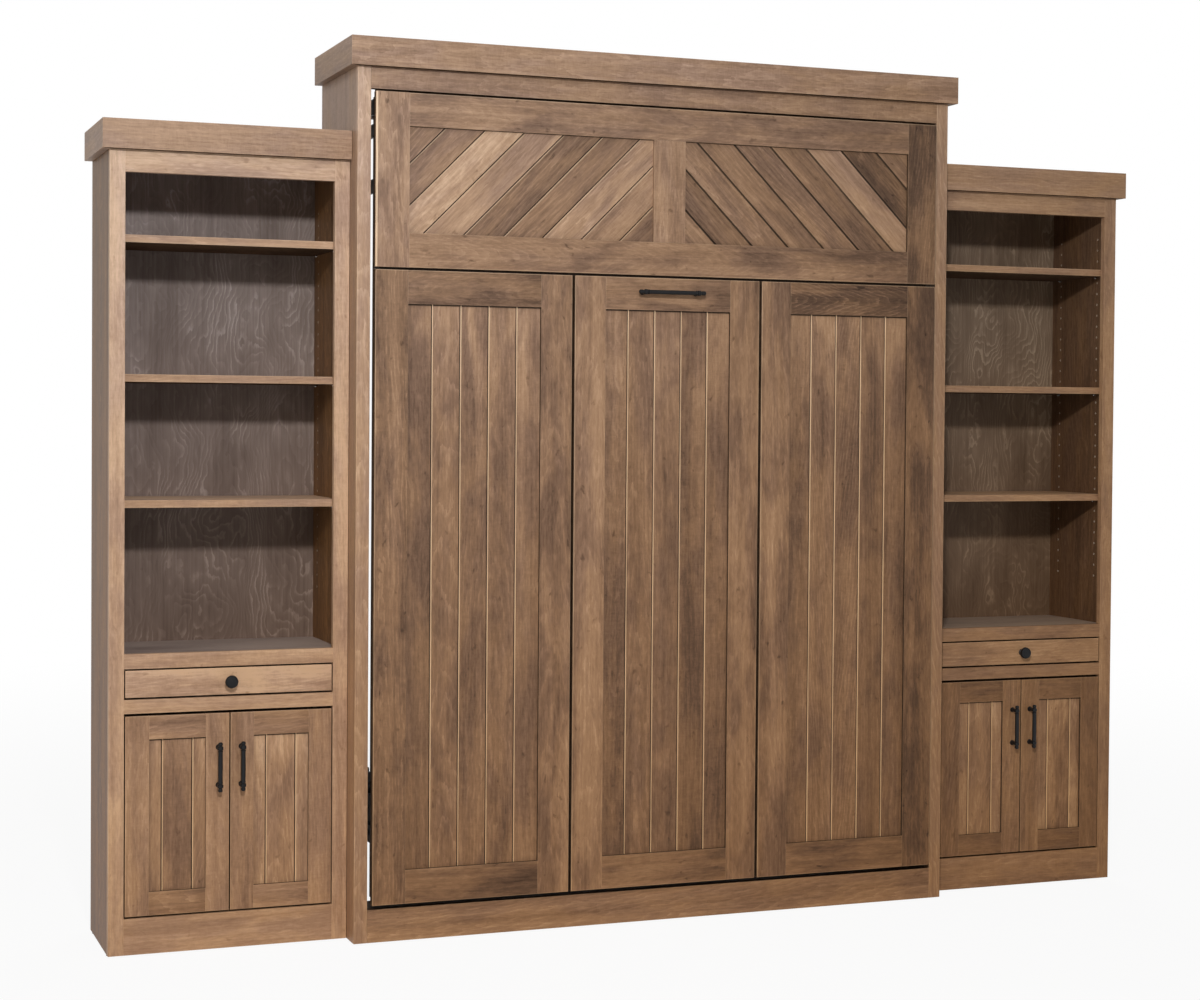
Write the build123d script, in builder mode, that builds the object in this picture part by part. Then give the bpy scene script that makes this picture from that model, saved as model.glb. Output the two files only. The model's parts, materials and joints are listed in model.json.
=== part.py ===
from build123d import *
import os
from math import hypot, sqrt

# Murphy wall bed between two shelf piers, in millimetres
# +X runs to the right along the wall, +Y into the wall and +Z up from the floor
# Depths are measured back from the bed cabinet's front plane, heights up from the floor

# Stock and fits
JOINT = 0.2
V_GROOVE = 2.6
RUN_FIT = 0.05
BOARD = 19.0
PLANK = 75.65
SIDES = {"left": -1, "right": 1}

# Bed cabinet
BED_HALF = 845.0
BED_SIDE_T = 35.0
BED_INNER = BED_HALF - BED_SIDE_T
DEPTH = 383.5
GLIDE_H = 3.5
GLIDE_R = 9.0
GLIDE_INSET = 30.0
CASE_TOP = 2290.0
HEADER_LOW = 2172.5
HEADER_T = 22.0
BASE_TOP = 87.5
BASE_T = 20.0
CROWN_H = 73.0
CROWN_TOP = 2300.5
CROWN_T = 20.5
WALL_RAIL_H = 100.0
WALL_RAIL_LEFT = -700.0
STRETCHER_W = 89.0
STUD_SPACING = 1219.2
WALL_HOLE_R = 4.0

# Bed face
FACE_HALF = 801.0
FACE_PROUD = 16.0
FACE_BACK = 6.0
FACE_LOW = 100.5
FACE_HIGH = 1716.5
FACE_PANEL_W = 529.0
FACE_GAP = (2 * FACE_HALF - 3 * FACE_PANEL_W) / 2
FACE_STILE = 86.0
FACE_RAIL_LOW = 87.0
FACE_RAIL_HIGH = 86.0
FACE_RECESS = 8.5

# Footboard, the chevron panel above the face
FOOT_LOW = 1722.5
FOOT_HIGH = 2165.0
FOOT_BACK = 5.5
FOOT_STILE = 88.0
FOOT_CENTRE_STILE = 90.0
FOOT_RAIL_LOW = 88.0
FOOT_RAIL_HIGH = 84.5
CHEVRON_FIRST = 82.0
CHEVRON_BEFORE = 3
CHEVRON_AFTER = 6

# Pivots in the side view, each as depth and height
BED_PIVOT = (60.0, 392.0)
FOOT_PIVOT = (80.0, 2132.5)
STRUT_TOP = (190.0, 992.0)
STRUT_FOOT = (100.0, 268.0)

# Bed frame and mattress
DECK_T = 18.0
DECK_HALF = 783.0
DECK_LOW = 104.0
DECK_HIGH = 2120.0
RAIL_T = 18.0
RAIL_DEPTH = 60.0
RAIL_HIGH = 2162.0
RAIL_EAR = 25.0
END_RAIL_T = 12.0
MATTRESS_HALF = 748.0
MATTRESS_T = 220.0
MATTRESS_SLACK = 1.5
MATTRESS_EDGE = 44.0
STRAP_W = 50.0
STRAP_T = 1.5
STRAP_HEIGHTS = (820.0, 1560.0)
STRAP_ANCHOR = 60.0

# Steel hardware
BRACKET_T = 4.0
BRACKET_DEPTHS = (30.0, 128.0)
BRACKET_HEIGHTS = (246.0, 428.0)
BOSS_R = 16.0
BOSS_L = 10.0
PIVOT_PIN_R = 10.0
PIVOT_PLATE_T = 5.0
PIVOT_PLATE_DEPTHS = (24.0, 112.0)
PIVOT_PLATE_HEIGHTS = (336.0, 452.0)
ANCHOR_PLATE = 56.0
STUD_R = 5.0
STUD_GAP = 0.5
ARM_T = 6.0
ARM_CLEAR = 3.0
ARM_PIN_R = 6.0
ARM_LOBE_R = 20.0
ARM_HEIGHTS = (1913.0, 2153.0)
ARM_FLANGE = 28.0
ARM_TABS = ((1913.0, 1949.0), (2055.0, 2089.0))
ARM_TAB_BACK = 94.0

# Gas struts
STRUT_LANE = 796.0
STRUT_EYE_R = 11.0
STRUT_EYE_T = 9.0
TUBE_R = 8.0
TUBE_START = 8.0
TUBE_END = 410.0
TUBE_BORE_START = 190.0
ROD_R = 4.0
ROD_START = 385.0
ROD_EYE_GAP = 8.0

# Side piers
PIER_IN = 846.0
PIER_OUT = 1448.5
PIER_FRONT = 73.0
PIER_STILE = 38.0
PIER_TOP = 2060.0
PIER_CROWN_T = 20.0
PIER_CROWN_TOP = 2069.5
PIER_BACK_T = 6.0
PIER_BACK_INSET = 0.5
TOP_RAIL_LOW = 1942.0
SHELF_TOPS = (1789.5, 1444.5, 1131.5)
SHELF_SLACK = 1.5
SHELF_SETBACK = 3.0
SHELF_PIN_R = 2.5
SHELF_PIN_L = 9.0
SHELF_PIN_DEPTHS = (138.0, 332.0)
DECK_RAIL = (714.5, 751.5)
MID_RAIL = (603.5, 638.0)
DUST_PANEL = (612.0, 631.0)
PIER_BASE_TOP = 93.5

# Pier doors and drawers
DOOR_GAP = 3.0
DOOR_HEIGHTS = (98.5, 597.0)
DOOR_FRAME = 59.0
DOOR_RECESS = 8.0
DOOR_AXIS_INSET = 18.0
DOOR_PIN_R = 4.0
DOOR_PIN_REACH = 12.0
DOOR_PIN_END_GAP = 0.5
DRAWER_HEIGHTS = (643.0, 710.5)
DRAWER_BOX_HEIGHTS = (648.0, 704.0)
DRAWER_BOX_INSET = 13.0
DRAWER_BOX_BACK = 350.0
DRAWER_WALL = 12.0
DRAWER_FLOOR = (652.0, 658.0)
RUNNER_HEIGHTS = (668.0, 684.0)
RUNNER_GAP = 0.5

# Pulls and knobs
PULL_R = 5.3
PULL_COLLAR_R = 6.5
PULL_COLLAR_W = 7.0
PULL_POST_R = 4.5
PULL_STANDOFF = 26.0
PULL_TIP = 2.0
BED_PULL = {"length": 191.0, "centres": 152.4, "height": 1677.5}
DOOR_PULL = {"length": 125.0, "centres": 95.0, "height": 464.0, "off_centre": 28.8}
KNOB_R = 16.25
KNOB_STEM_R = 7.0
KNOB_STEM_L = 13.0
KNOB_L = 27.0
KNOB_EDGE = 4.0

# The bed handle reaches furthest into the room, and the origin is midway between it and the wall
FRONT = (FACE_PROUD + PULL_STANDOFF + PULL_COLLAR_R - DEPTH) / 2


def board(x, depth, z):
    # A square-edged board between two values along each axis
    low = (min(x), FRONT + min(depth), min(z))
    high = (max(x), FRONT + max(depth), max(z))
    with Locations(tuple((a + b) / 2 for a, b in zip(low, high))):
        Box(*(b - a for a, b in zip(low, high)))


def disc(x, centre, radius, mode=Mode.ADD):
    # A round along X between two values of x, at a depth and a height
    with BuildSketch(Plane.YZ.offset(min(x))) as section:
        with Locations((FRONT + centre[0], centre[1])):
            Circle(radius)
    extrude(section.sketch, amount=max(x) - min(x), mode=mode)


def upright(x, depth, z, radius, mode=Mode.ADD):
    # A round along Z between two heights
    with BuildSketch(Plane.XY.offset(min(z))) as section:
        with Locations((x, FRONT + depth)):
            Circle(radius)
    extrude(section.sketch, amount=max(z) - min(z), mode=mode)


def planks(edges, front, back, z):
    # A row of upright planks whose neighbouring edges are chamfered into V grooves
    last = len(edges) - 2
    for index, (left, right) in enumerate(zip(edges, edges[1:])):
        left += JOINT / 2
        right -= JOINT / 2
        cut_left = V_GROOVE if index > 0 else 0
        cut_right = V_GROOVE if index < last else 0
        outline = [(left, back), (left, front + cut_left)]
        if cut_left:
            outline.append((left + cut_left, front))
        if cut_right:
            outline.append((right - cut_right, front))
        outline += [(right, front + cut_right), (right, back)]
        with BuildSketch(Plane.XY.offset(min(z))) as section:
            Polygon(*((x, FRONT + y) for x, y in outline), align=None)
        extrude(section.sketch, amount=max(z) - min(z))


def frame(x, depth, z, stile, rail_low, rail_high):
    # Two full-height stiles with a rail between them at the foot and the head
    left, right = sorted(x)
    low, high = z
    between = (left + stile + JOINT, right - stile - JOINT)
    board((left, left + stile), depth, z)
    board((right - stile, right), depth, z)
    board(between, depth, (low, low + rail_low))
    board(between, depth, (high - rail_high, high))


def finish(piece, node):
    piece.part.label = node
    export_step(piece.part, f"parts/{node}.step")


os.makedirs("parts", exist_ok=True)

# Bed cabinet
for name, side in SIDES.items():
    with BuildPart() as bed_side:
        board((side * BED_INNER, side * BED_HALF), (0, DEPTH), (GLIDE_H, CASE_TOP))
    finish(bed_side, f"bed_{name}_side")

case_span = (-BED_INNER + JOINT, BED_INNER - JOINT)

with BuildPart() as bed_header_rail:
    board(case_span, (0, HEADER_T), (HEADER_LOW, CASE_TOP))
finish(bed_header_rail, "bed_header_rail")

with BuildPart() as bed_base_rail:
    board(case_span, (0, BASE_T), (GLIDE_H, BASE_TOP))
finish(bed_base_rail, "bed_base_rail")

with BuildPart() as bed_top_panel:
    board(case_span, (HEADER_T + JOINT, DEPTH), (CASE_TOP - BOARD, CASE_TOP))
finish(bed_top_panel, "bed_top_panel")

crown_z = (CROWN_TOP - CROWN_H, CROWN_TOP)
with BuildPart() as bed_crown:
    crown_edge = BED_HALF + CROWN_T
    board((-crown_edge, crown_edge), (-CROWN_T, 0), crown_z)
    for side in SIDES.values():
        board((side * BED_HALF, side * crown_edge), (JOINT, DEPTH), crown_z)
finish(bed_crown, "bed_crown")

# The wall rail hangs under the top panel, stops short of the left side and takes the screws into the studs
wall_rail_top = CASE_TOP - BOARD - JOINT
wall_rail_z = (wall_rail_top - WALL_RAIL_H, wall_rail_top)
with BuildPart() as wall_rail:
    board((WALL_RAIL_LEFT, case_span[1]), (DEPTH - BOARD, DEPTH), wall_rail_z)
    with BuildSketch(Plane.XZ.offset(-FRONT - DEPTH)):
        with Locations((0, sum(wall_rail_z) / 2)):
            with GridLocations(STUD_SPACING, 0, 2, 1):
                Circle(WALL_HOLE_R)
    extrude(amount=BOARD, mode=Mode.SUBTRACT)
finish(wall_rail, "wall_rail")

# A flat stretcher lies on the floor at the back, and a second one stiffens the base rail from behind
with BuildPart() as floor_stretcher:
    board(case_span, (DEPTH - STRETCHER_W, DEPTH), (GLIDE_H, GLIDE_H + BOARD))
    ledge_front = BASE_T + JOINT
    board(case_span, (ledge_front, ledge_front + STRETCHER_W), (BASE_TOP - BOARD, BASE_TOP))
finish(floor_stretcher, "floor_stretcher")

with BuildPart() as levelling_glides:
    for side in SIDES.values():
        rows = (
            (BED_HALF - BED_SIDE_T / 2, GLIDE_INSET),
            (PIER_IN + BOARD / 2, PIER_FRONT + GLIDE_INSET),
            (PIER_OUT - BOARD / 2, PIER_FRONT + GLIDE_INSET),
        )
        for glide_x, front_depth in rows:
            for depth in (front_depth, DEPTH - GLIDE_INSET):
                upright(side * glide_x, depth, (0, GLIDE_H), GLIDE_R)
finish(levelling_glides, "levelling_glides")

# Each pivot plate carries the pin that the bed turns on
plate_face = BED_INNER - PIVOT_PLATE_T
with BuildPart() as pivot_plates:
    for side in SIDES.values():
        board((side * plate_face, side * BED_INNER), PIVOT_PLATE_DEPTHS, PIVOT_PLATE_HEIGHTS)
        disc((side * (DECK_HALF + STUD_GAP), side * BED_INNER), BED_PIVOT, PIVOT_PIN_R)
finish(pivot_plates, "pivot_plates")

with BuildPart() as strut_anchors:
    for side in SIDES.values():
        reach = ANCHOR_PLATE / 2
        depths = (STRUT_TOP[0] - reach, STRUT_TOP[0] + reach)
        heights = (STRUT_TOP[1] - reach, STRUT_TOP[1] + reach)
        board((side * plate_face, side * BED_INNER), depths, heights)
        disc((side * (STRUT_LANE - STRUT_EYE_T / 2), side * BED_INNER), STRUT_TOP, STUD_R)
finish(strut_anchors, "strut_anchors")

# Bed face, three planked panels side by side
plank_steps = (-1.5 * PLANK, -0.5 * PLANK, 0.5 * PLANK, 1.5 * PLANK)
panel_pitch = FACE_PANEL_W + FACE_GAP
for name, place in (("left", -1), ("centre", 0), ("right", 1)):
    centre = place * panel_pitch
    half = FACE_PANEL_W / 2
    with BuildPart() as face_frame:
        frame((centre - half, centre + half), (-FACE_PROUD, FACE_BACK), (FACE_LOW, FACE_HIGH),
              FACE_STILE, FACE_RAIL_LOW, FACE_RAIL_HIGH)
    finish(face_frame, f"{name}_face_frame")
    field = half - FACE_STILE - JOINT / 2
    edges = [centre - field, *(centre + step for step in plank_steps), centre + field]
    field_z = (FACE_LOW + FACE_RAIL_LOW + JOINT, FACE_HIGH - FACE_RAIL_HIGH - JOINT)
    with BuildPart() as face_planks:
        planks(edges, FACE_RECESS - FACE_PROUD, FACE_BACK, field_z)
    finish(face_planks, f"{name}_face_planks")

# Bed frame behind the face
with BuildPart() as bed_deck:
    board((-DECK_HALF, DECK_HALF), (FACE_BACK, FACE_BACK + DECK_T), (DECK_LOW, DECK_HIGH))
finish(bed_deck, "bed_deck")

rail_front = FACE_BACK + DECK_T
rail_depths = (rail_front, rail_front + RAIL_DEPTH)
rail_inner = DECK_HALF - RAIL_T
with BuildPart() as bed_side_rails:
    for side in SIDES.values():
        board((side * rail_inner, side * DECK_HALF), rail_depths, (DECK_LOW, RAIL_HIGH))
        # A deeper ear at the head of the rail carries the footboard's pin
        ear_depths = (rail_front, FOOT_PIVOT[0] + RAIL_EAR)
        ear_heights = (FOOT_PIVOT[1] - RAIL_EAR, FOOT_PIVOT[1] + RAIL_EAR)
        board((side * rail_inner, side * DECK_HALF), ear_depths, ear_heights)
        disc((side * rail_inner, side * DECK_HALF), FOOT_PIVOT, ARM_PIN_R + RUN_FIT, Mode.SUBTRACT)
finish(bed_side_rails, "bed_side_rails")

with BuildPart() as bed_end_rails:
    end_span = (JOINT - rail_inner, rail_inner - JOINT)
    board(end_span, rail_depths, (DECK_LOW, DECK_LOW + END_RAIL_T))
    board(end_span, rail_depths, (RAIL_HIGH - END_RAIL_T, RAIL_HIGH))
finish(bed_end_rails, "bed_end_rails")

mattress_front = rail_front + JOINT
mattress_back = rail_front + MATTRESS_T
mattress_low = DECK_LOW + END_RAIL_T + MATTRESS_SLACK
mattress_high = RAIL_HIGH - END_RAIL_T - MATTRESS_SLACK
with BuildPart() as mattress:
    board((-MATTRESS_HALF, MATTRESS_HALF), (mattress_front, mattress_back), (mattress_low, mattress_high))
    fillet(mattress.edges(), MATTRESS_EDGE)
finish(mattress, "mattress")

# Each strap runs up one side of the mattress, across it and down the other side
strap_face = (mattress_back + JOINT, mattress_back + JOINT + STRAP_T)
with BuildPart() as mattress_straps:
    for height in STRAP_HEIGHTS:
        strap_z = (height - STRAP_W / 2, height + STRAP_W / 2)
        side_in = MATTRESS_HALF + JOINT
        side_out = side_in + STRAP_T
        board((-side_out, side_out), strap_face, strap_z)
        for side in SIDES.values():
            board((side * side_in, side * side_out), (STRAP_ANCHOR, strap_face[0] - JOINT), strap_z)
            foot_depths = (STRAP_ANCHOR, STRAP_ANCHOR + STRAP_T)
            board((side * (side_out + JOINT), side * rail_inner), foot_depths, strap_z)
finish(mattress_straps, "mattress_straps")

# Bracket plates with the pivot boss and the stud that the strut's foot sits over
bracket_face = DECK_HALF + BRACKET_T
boss_end = bracket_face + BOSS_L
with BuildPart() as bed_brackets:
    for side in SIDES.values():
        board((side * DECK_HALF, side * bracket_face), BRACKET_DEPTHS, BRACKET_HEIGHTS)
        disc((side * DECK_HALF, side * boss_end), BED_PIVOT, BOSS_R)
        disc((side * DECK_HALF, side * boss_end), BED_PIVOT, PIVOT_PIN_R + RUN_FIT, Mode.SUBTRACT)
        stud_end = STRUT_LANE - STRUT_EYE_T / 2 - STUD_GAP
        disc((side * DECK_HALF, side * stud_end), STRUT_FOOT, STUD_R)
finish(bed_brackets, "bed_brackets")


def bar_pull(plane, length, centres):
    # A round bar on two posts, with a collar at each post: the plane lies on the surface it is fixed to,
    # with its x axis along the bar
    axis_plane = Plane(plane.offset(PULL_STANDOFF).origin, x_dir=plane.y_dir, z_dir=plane.x_dir)
    with BuildSketch(axis_plane.offset(-length / 2)) as bar:
        Circle(PULL_R)
    extrude(bar.sketch, amount=length)
    tips = faces().filter_by(GeomType.PLANE).sort_by(Axis(axis_plane.origin, plane.x_dir))
    chamfer(tips[0].edges() + tips[-1].edges(), PULL_TIP)
    for end in (-centres / 2, centres / 2):
        with BuildSketch(axis_plane.offset(end - PULL_COLLAR_W / 2)) as collar:
            Circle(PULL_COLLAR_R)
        extrude(collar.sketch, amount=PULL_COLLAR_W)
        with BuildSketch(plane) as post:
            with Locations((end, 0)):
                Circle(PULL_POST_R)
        extrude(post.sketch, amount=PULL_STANDOFF)


with BuildPart() as bed_handle:
    handle_foot = (0, FRONT - FACE_PROUD, BED_PULL["height"])
    handle_plane = Plane(handle_foot, x_dir=(1, 0, 0), z_dir=(0, -1, 0))
    bar_pull(handle_plane, BED_PULL["length"], BED_PULL["centres"])
finish(bed_handle, "bed_handle")

# Footboard: a framed chevron panel, with its boards falling away from the centre stile at 45 degrees
foot_depths = (-FACE_PROUD, FOOT_BACK)
with BuildPart() as chevron_frame:
    foot_z = (FOOT_LOW, FOOT_HIGH)
    frame((-FACE_HALF, FACE_HALF), foot_depths, foot_z, FOOT_STILE, FOOT_RAIL_LOW, FOOT_RAIL_HIGH)
    field_low = FOOT_LOW + FOOT_RAIL_LOW
    field_high = FOOT_HIGH - FOOT_RAIL_HIGH
    stile_half = FOOT_CENTRE_STILE / 2
    board((-stile_half, stile_half), foot_depths, (field_low + JOINT, field_high - JOINT))
finish(chevron_frame, "chevron_frame")

with BuildPart() as chevron_planks:
    field_inner = stile_half + JOINT
    field_outer = FACE_HALF - FOOT_STILE - JOINT
    field_w = field_outer - field_inner
    field_h = field_high - field_low - 2 * JOINT
    field_y = FRONT + FACE_RECESS - FACE_PROUD
    for side in SIDES.values():
        for step in range(-CHEVRON_BEFORE, CHEVRON_AFTER):
            plank_x = CHEVRON_FIRST + (step + 0.5) * PLANK * sqrt(2)
            with BuildSketch(Plane.XZ.offset(-FRONT - FOOT_BACK)):
                with Locations((side * (field_inner + field_outer) / 2, (field_low + field_high) / 2)):
                    Rectangle(field_w, field_h)
                with Locations((side * plank_x, field_high)):
                    Rectangle(4 * field_h, PLANK - JOINT, rotation=-45 * side, mode=Mode.INTERSECT)
            extrude(amount=FOOT_BACK + FACE_PROUD - FACE_RECESS)
    slanted = [
        edge
        for edge in chevron_planks.edges().filter_by_position(Axis.Y, field_y - JOINT, field_y + JOINT)
        if abs(abs(edge.tangent_at(0.5).X) - abs(edge.tangent_at(0.5).Z)) < JOINT
    ]
    chamfer(slanted, V_GROOVE)
finish(chevron_planks, "chevron_planks")

# Steel arms fixed to the panel's back, each with two stop tabs and the pin that the footboard swings on
arm_inner = DECK_HALF + ARM_CLEAR
with BuildPart() as footboard_arms:
    for side in SIDES.values():
        arm_x = (side * arm_inner, side * (arm_inner + ARM_T))
        board(arm_x, (FOOT_BACK, FOOT_BACK + ARM_FLANGE), ARM_HEIGHTS)
        for tab_heights in ARM_TABS:
            board(arm_x, (FOOT_BACK, ARM_TAB_BACK), tab_heights)
        lobe_heights = (FOOT_PIVOT[1] - ARM_LOBE_R, FOOT_PIVOT[1] + ARM_LOBE_R)
        board(arm_x, (FOOT_BACK, FOOT_PIVOT[0]), lobe_heights)
        disc(arm_x, FOOT_PIVOT, ARM_LOBE_R)
        disc((side * (rail_inner + JOINT), side * arm_inner), FOOT_PIVOT, ARM_PIN_R)
finish(footboard_arms, "footboard_arms")

# Gas struts, drawn at full reach along the line from the cabinet's anchor to the bed's stud
strut_run = (STRUT_FOOT[0] - STRUT_TOP[0], STRUT_FOOT[1] - STRUT_TOP[1])
strut_reach = hypot(*strut_run)
for name, side in SIDES.items():
    lane = side * STRUT_LANE
    line = Plane((lane, FRONT + STRUT_TOP[0], STRUT_TOP[1]), x_dir=(1, 0, 0), z_dir=(0, *strut_run))
    eye = (lane - STRUT_EYE_T / 2, lane + STRUT_EYE_T / 2)
    with BuildPart() as strut_cylinder:
        with BuildSketch(line.offset(TUBE_START)):
            Circle(TUBE_R)
        extrude(amount=TUBE_END - TUBE_START)
        disc(eye, STRUT_TOP, STRUT_EYE_R)
        disc(eye, STRUT_TOP, STUD_R + RUN_FIT, Mode.SUBTRACT)
        with BuildSketch(line.offset(TUBE_BORE_START)):
            Circle(ROD_R + RUN_FIT)
        extrude(amount=TUBE_END - TUBE_BORE_START, mode=Mode.SUBTRACT)
    finish(strut_cylinder, f"strut_cylinder_{name}")
    with BuildPart() as strut_rod:
        with BuildSketch(line.offset(ROD_START)):
            Circle(ROD_R)
        extrude(amount=strut_reach - ROD_EYE_GAP - ROD_START)
        disc(eye, STRUT_FOOT, STRUT_EYE_R)
        disc(eye, STRUT_FOOT, STUD_R + RUN_FIT, Mode.SUBTRACT)
    finish(strut_rod, f"strut_rod_{name}")

# Side piers, mirrored left and right
frame_back = PIER_FRONT + BOARD
inside = (PIER_IN + BOARD, PIER_OUT - BOARD)
opening = (PIER_IN + PIER_STILE, PIER_OUT - PIER_STILE)
pier_centre = (PIER_IN + PIER_OUT) / 2
back_front = DEPTH - PIER_BACK_INSET - PIER_BACK_T
door_axes = (opening[0] + DOOR_GAP + DOOR_AXIS_INSET, opening[1] - DOOR_GAP - DOOR_AXIS_INSET)
axis_depth = PIER_FRONT + BOARD / 2


def span(side, pair, trim=0.0):
    # A span of distances from the middle, on one side of the bed, trimmed at both ends
    return (side * (pair[0] + trim), side * (pair[1] - trim))


for name, side in SIDES.items():
    with BuildPart() as pier_sides:
        for pair in ((PIER_IN, inside[0]), (inside[1], PIER_OUT)):
            board(span(side, pair), (frame_back + JOINT, DEPTH), (GLIDE_H, PIER_TOP))
    finish(pier_sides, f"{name}_pier_sides")

    with BuildPart() as pier_back:
        board(span(side, inside, JOINT), (back_front, back_front + PIER_BACK_T), (GLIDE_H, PIER_TOP))
    finish(pier_back, f"{name}_pier_back")

    # Top, deck under the shelves, dust panel under the drawer and cupboard floor
    with BuildPart() as pier_panels:
        panel_heights = (
            (PIER_TOP - BOARD, PIER_TOP),
            (DECK_RAIL[1] - BOARD, DECK_RAIL[1]),
            DUST_PANEL,
            (PIER_BASE_TOP - BOARD, PIER_BASE_TOP),
        )
        for heights in panel_heights:
            board(span(side, inside, JOINT), (frame_back + JOINT, back_front - JOINT), heights)
    finish(pier_panels, f"{name}_pier_panels")

    with BuildPart() as pier_face_frame:
        depths = (PIER_FRONT, frame_back)
        for pair in ((PIER_IN, opening[0]), (opening[1], PIER_OUT)):
            board(span(side, pair), depths, (GLIDE_H, PIER_TOP))
        for heights in ((TOP_RAIL_LOW, PIER_TOP), DECK_RAIL, MID_RAIL, (GLIDE_H, PIER_BASE_TOP)):
            board(span(side, opening, JOINT), depths, heights)
        for axis_x in door_axes:
            hole_r = DOOR_PIN_R + RUN_FIT
            deep = DOOR_PIN_REACH + DOOR_PIN_END_GAP
            upright(side * axis_x, axis_depth, (MID_RAIL[0], MID_RAIL[0] + deep), hole_r, Mode.SUBTRACT)
            upright(side * axis_x, axis_depth, (PIER_BASE_TOP - deep, PIER_BASE_TOP), hole_r, Mode.SUBTRACT)
    finish(pier_face_frame, f"{name}_pier_face_frame")

    with BuildPart() as pier_crown:
        crown_heights = (PIER_CROWN_TOP - CROWN_H, PIER_CROWN_TOP)
        outer = PIER_OUT + PIER_CROWN_T
        board(span(side, (PIER_IN, outer)), (PIER_FRONT - PIER_CROWN_T, PIER_FRONT), crown_heights)
        board(span(side, (PIER_OUT, outer)), (PIER_FRONT + JOINT, DEPTH), crown_heights)
    finish(pier_crown, f"{name}_pier_crown")

    shelf_depths = (frame_back + SHELF_SETBACK, back_front - SHELF_SETBACK)
    with BuildPart() as pier_shelves:
        for top in SHELF_TOPS:
            board(span(side, inside, SHELF_SLACK), shelf_depths, (top - BOARD, top))
    finish(pier_shelves, f"{name}_pier_shelves")

    with BuildPart() as drawer_front:
        board(span(side, opening, DOOR_GAP), (PIER_FRONT, frame_back), DRAWER_HEIGHTS)
    finish(drawer_front, f"{name}_drawer_front")

    box_x = (opening[0] + DRAWER_BOX_INSET, opening[1] - DRAWER_BOX_INSET)
    box_in = (box_x[0] + DRAWER_WALL, box_x[1] - DRAWER_WALL)
    with BuildPart() as drawer_box:
        for pair in ((box_x[0], box_in[0]), (box_in[1], box_x[1])):
            board(span(side, pair), (frame_back, DRAWER_BOX_BACK), DRAWER_BOX_HEIGHTS)
        wall_front = DRAWER_BOX_BACK - DRAWER_WALL
        board(span(side, box_in, JOINT), (wall_front, DRAWER_BOX_BACK), DRAWER_BOX_HEIGHTS)
        board(span(side, box_in, JOINT), (frame_back, wall_front - JOINT), DRAWER_FLOOR)
    finish(drawer_box, f"{name}_drawer_box")

    with BuildPart() as drawer_knob:
        knob_z = sum(DRAWER_HEIGHTS) / 2
        knob_foot = (side * pier_centre, FRONT + PIER_FRONT, knob_z)
        knob_plane = Plane(knob_foot, x_dir=(1, 0, 0), z_dir=(0, -1, 0))
        with BuildSketch(knob_plane):
            Circle(KNOB_STEM_R)
        extrude(amount=KNOB_STEM_L)
        with BuildSketch(knob_plane.offset(KNOB_STEM_L)):
            Circle(KNOB_R)
        extrude(amount=KNOB_L - KNOB_STEM_L)
        head = drawer_knob.edges().filter_by(GeomType.CIRCLE).group_by(SortBy.RADIUS)[-1]
        fillet(head, KNOB_EDGE)
    finish(drawer_knob, f"{name}_drawer_knob")

    # Two doors meet at the pier's middle, each turning on pins in its outer stile
    door_spans = {
        "inner": (opening[0] + DOOR_GAP, pier_centre - DOOR_GAP / 2, door_axes[0], -1),
        "outer": (pier_centre + DOOR_GAP / 2, opening[1] - DOOR_GAP, door_axes[1], 1),
    }
    for place, (near, far, axis_x, offset_sign) in door_spans.items():
        node = f"{name}_{place}_door"
        with BuildPart() as door:
            frame(span(side, (near, far)), (PIER_FRONT, frame_back), DOOR_HEIGHTS,
                  DOOR_FRAME, DOOR_FRAME, DOOR_FRAME)
            top_pin = (DOOR_HEIGHTS[1], MID_RAIL[0] + DOOR_PIN_REACH)
            foot_pin = (PIER_BASE_TOP - DOOR_PIN_REACH, DOOR_HEIGHTS[0])
            for pin_z in (top_pin, foot_pin):
                upright(side * axis_x, axis_depth, pin_z, DOOR_PIN_R)
            middle = side * (near + far) / 2
            field = (far - near) / 2 - DOOR_FRAME - JOINT / 2
            door_edges = [middle - field, middle - PLANK / 2, middle + PLANK / 2, middle + field]
            field_z = (DOOR_HEIGHTS[0] + DOOR_FRAME + JOINT, DOOR_HEIGHTS[1] - DOOR_FRAME - JOINT)
            planks(door_edges, PIER_FRONT + DOOR_RECESS, frame_back, field_z)
        finish(door, node)
        with BuildPart() as door_pull:
            pull_x = side * (pier_centre + offset_sign * DOOR_PULL["off_centre"])
            pull_foot = (pull_x, FRONT + PIER_FRONT, DOOR_PULL["height"])
            pull_plane = Plane(pull_foot, x_dir=(0, 0, 1), z_dir=(0, -1, 0))
            bar_pull(pull_plane, DOOR_PULL["length"], DOOR_PULL["centres"])
        finish(door_pull, f"{node}_pull")

with BuildPart() as shelf_pins:
    for side in SIDES.values():
        for top in SHELF_TOPS:
            pin_z = top - BOARD - SHELF_PIN_R - RUN_FIT
            for depth in SHELF_PIN_DEPTHS:
                for start, inward in ((inside[0], 1), (inside[1], -1)):
                    pin_x = (side * start, side * (start + inward * SHELF_PIN_L))
                    disc(pin_x, (depth, pin_z), SHELF_PIN_R)
finish(shelf_pins, "shelf_pins")

with BuildPart() as drawer_runners:
    for side in SIDES.values():
        for wall, guide in ((inside[0], box_x[0] - RUNNER_GAP), (inside[1], box_x[1] + RUNNER_GAP)):
            board((side * wall, side * guide), (frame_back + RUNNER_GAP, DRAWER_BOX_BACK), RUNNER_HEIGHTS)
finish(drawer_runners, "drawer_runners")
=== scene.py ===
import bmesh
import bpy
import json
import math
import random
from mathutils import Matrix, Vector


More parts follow.
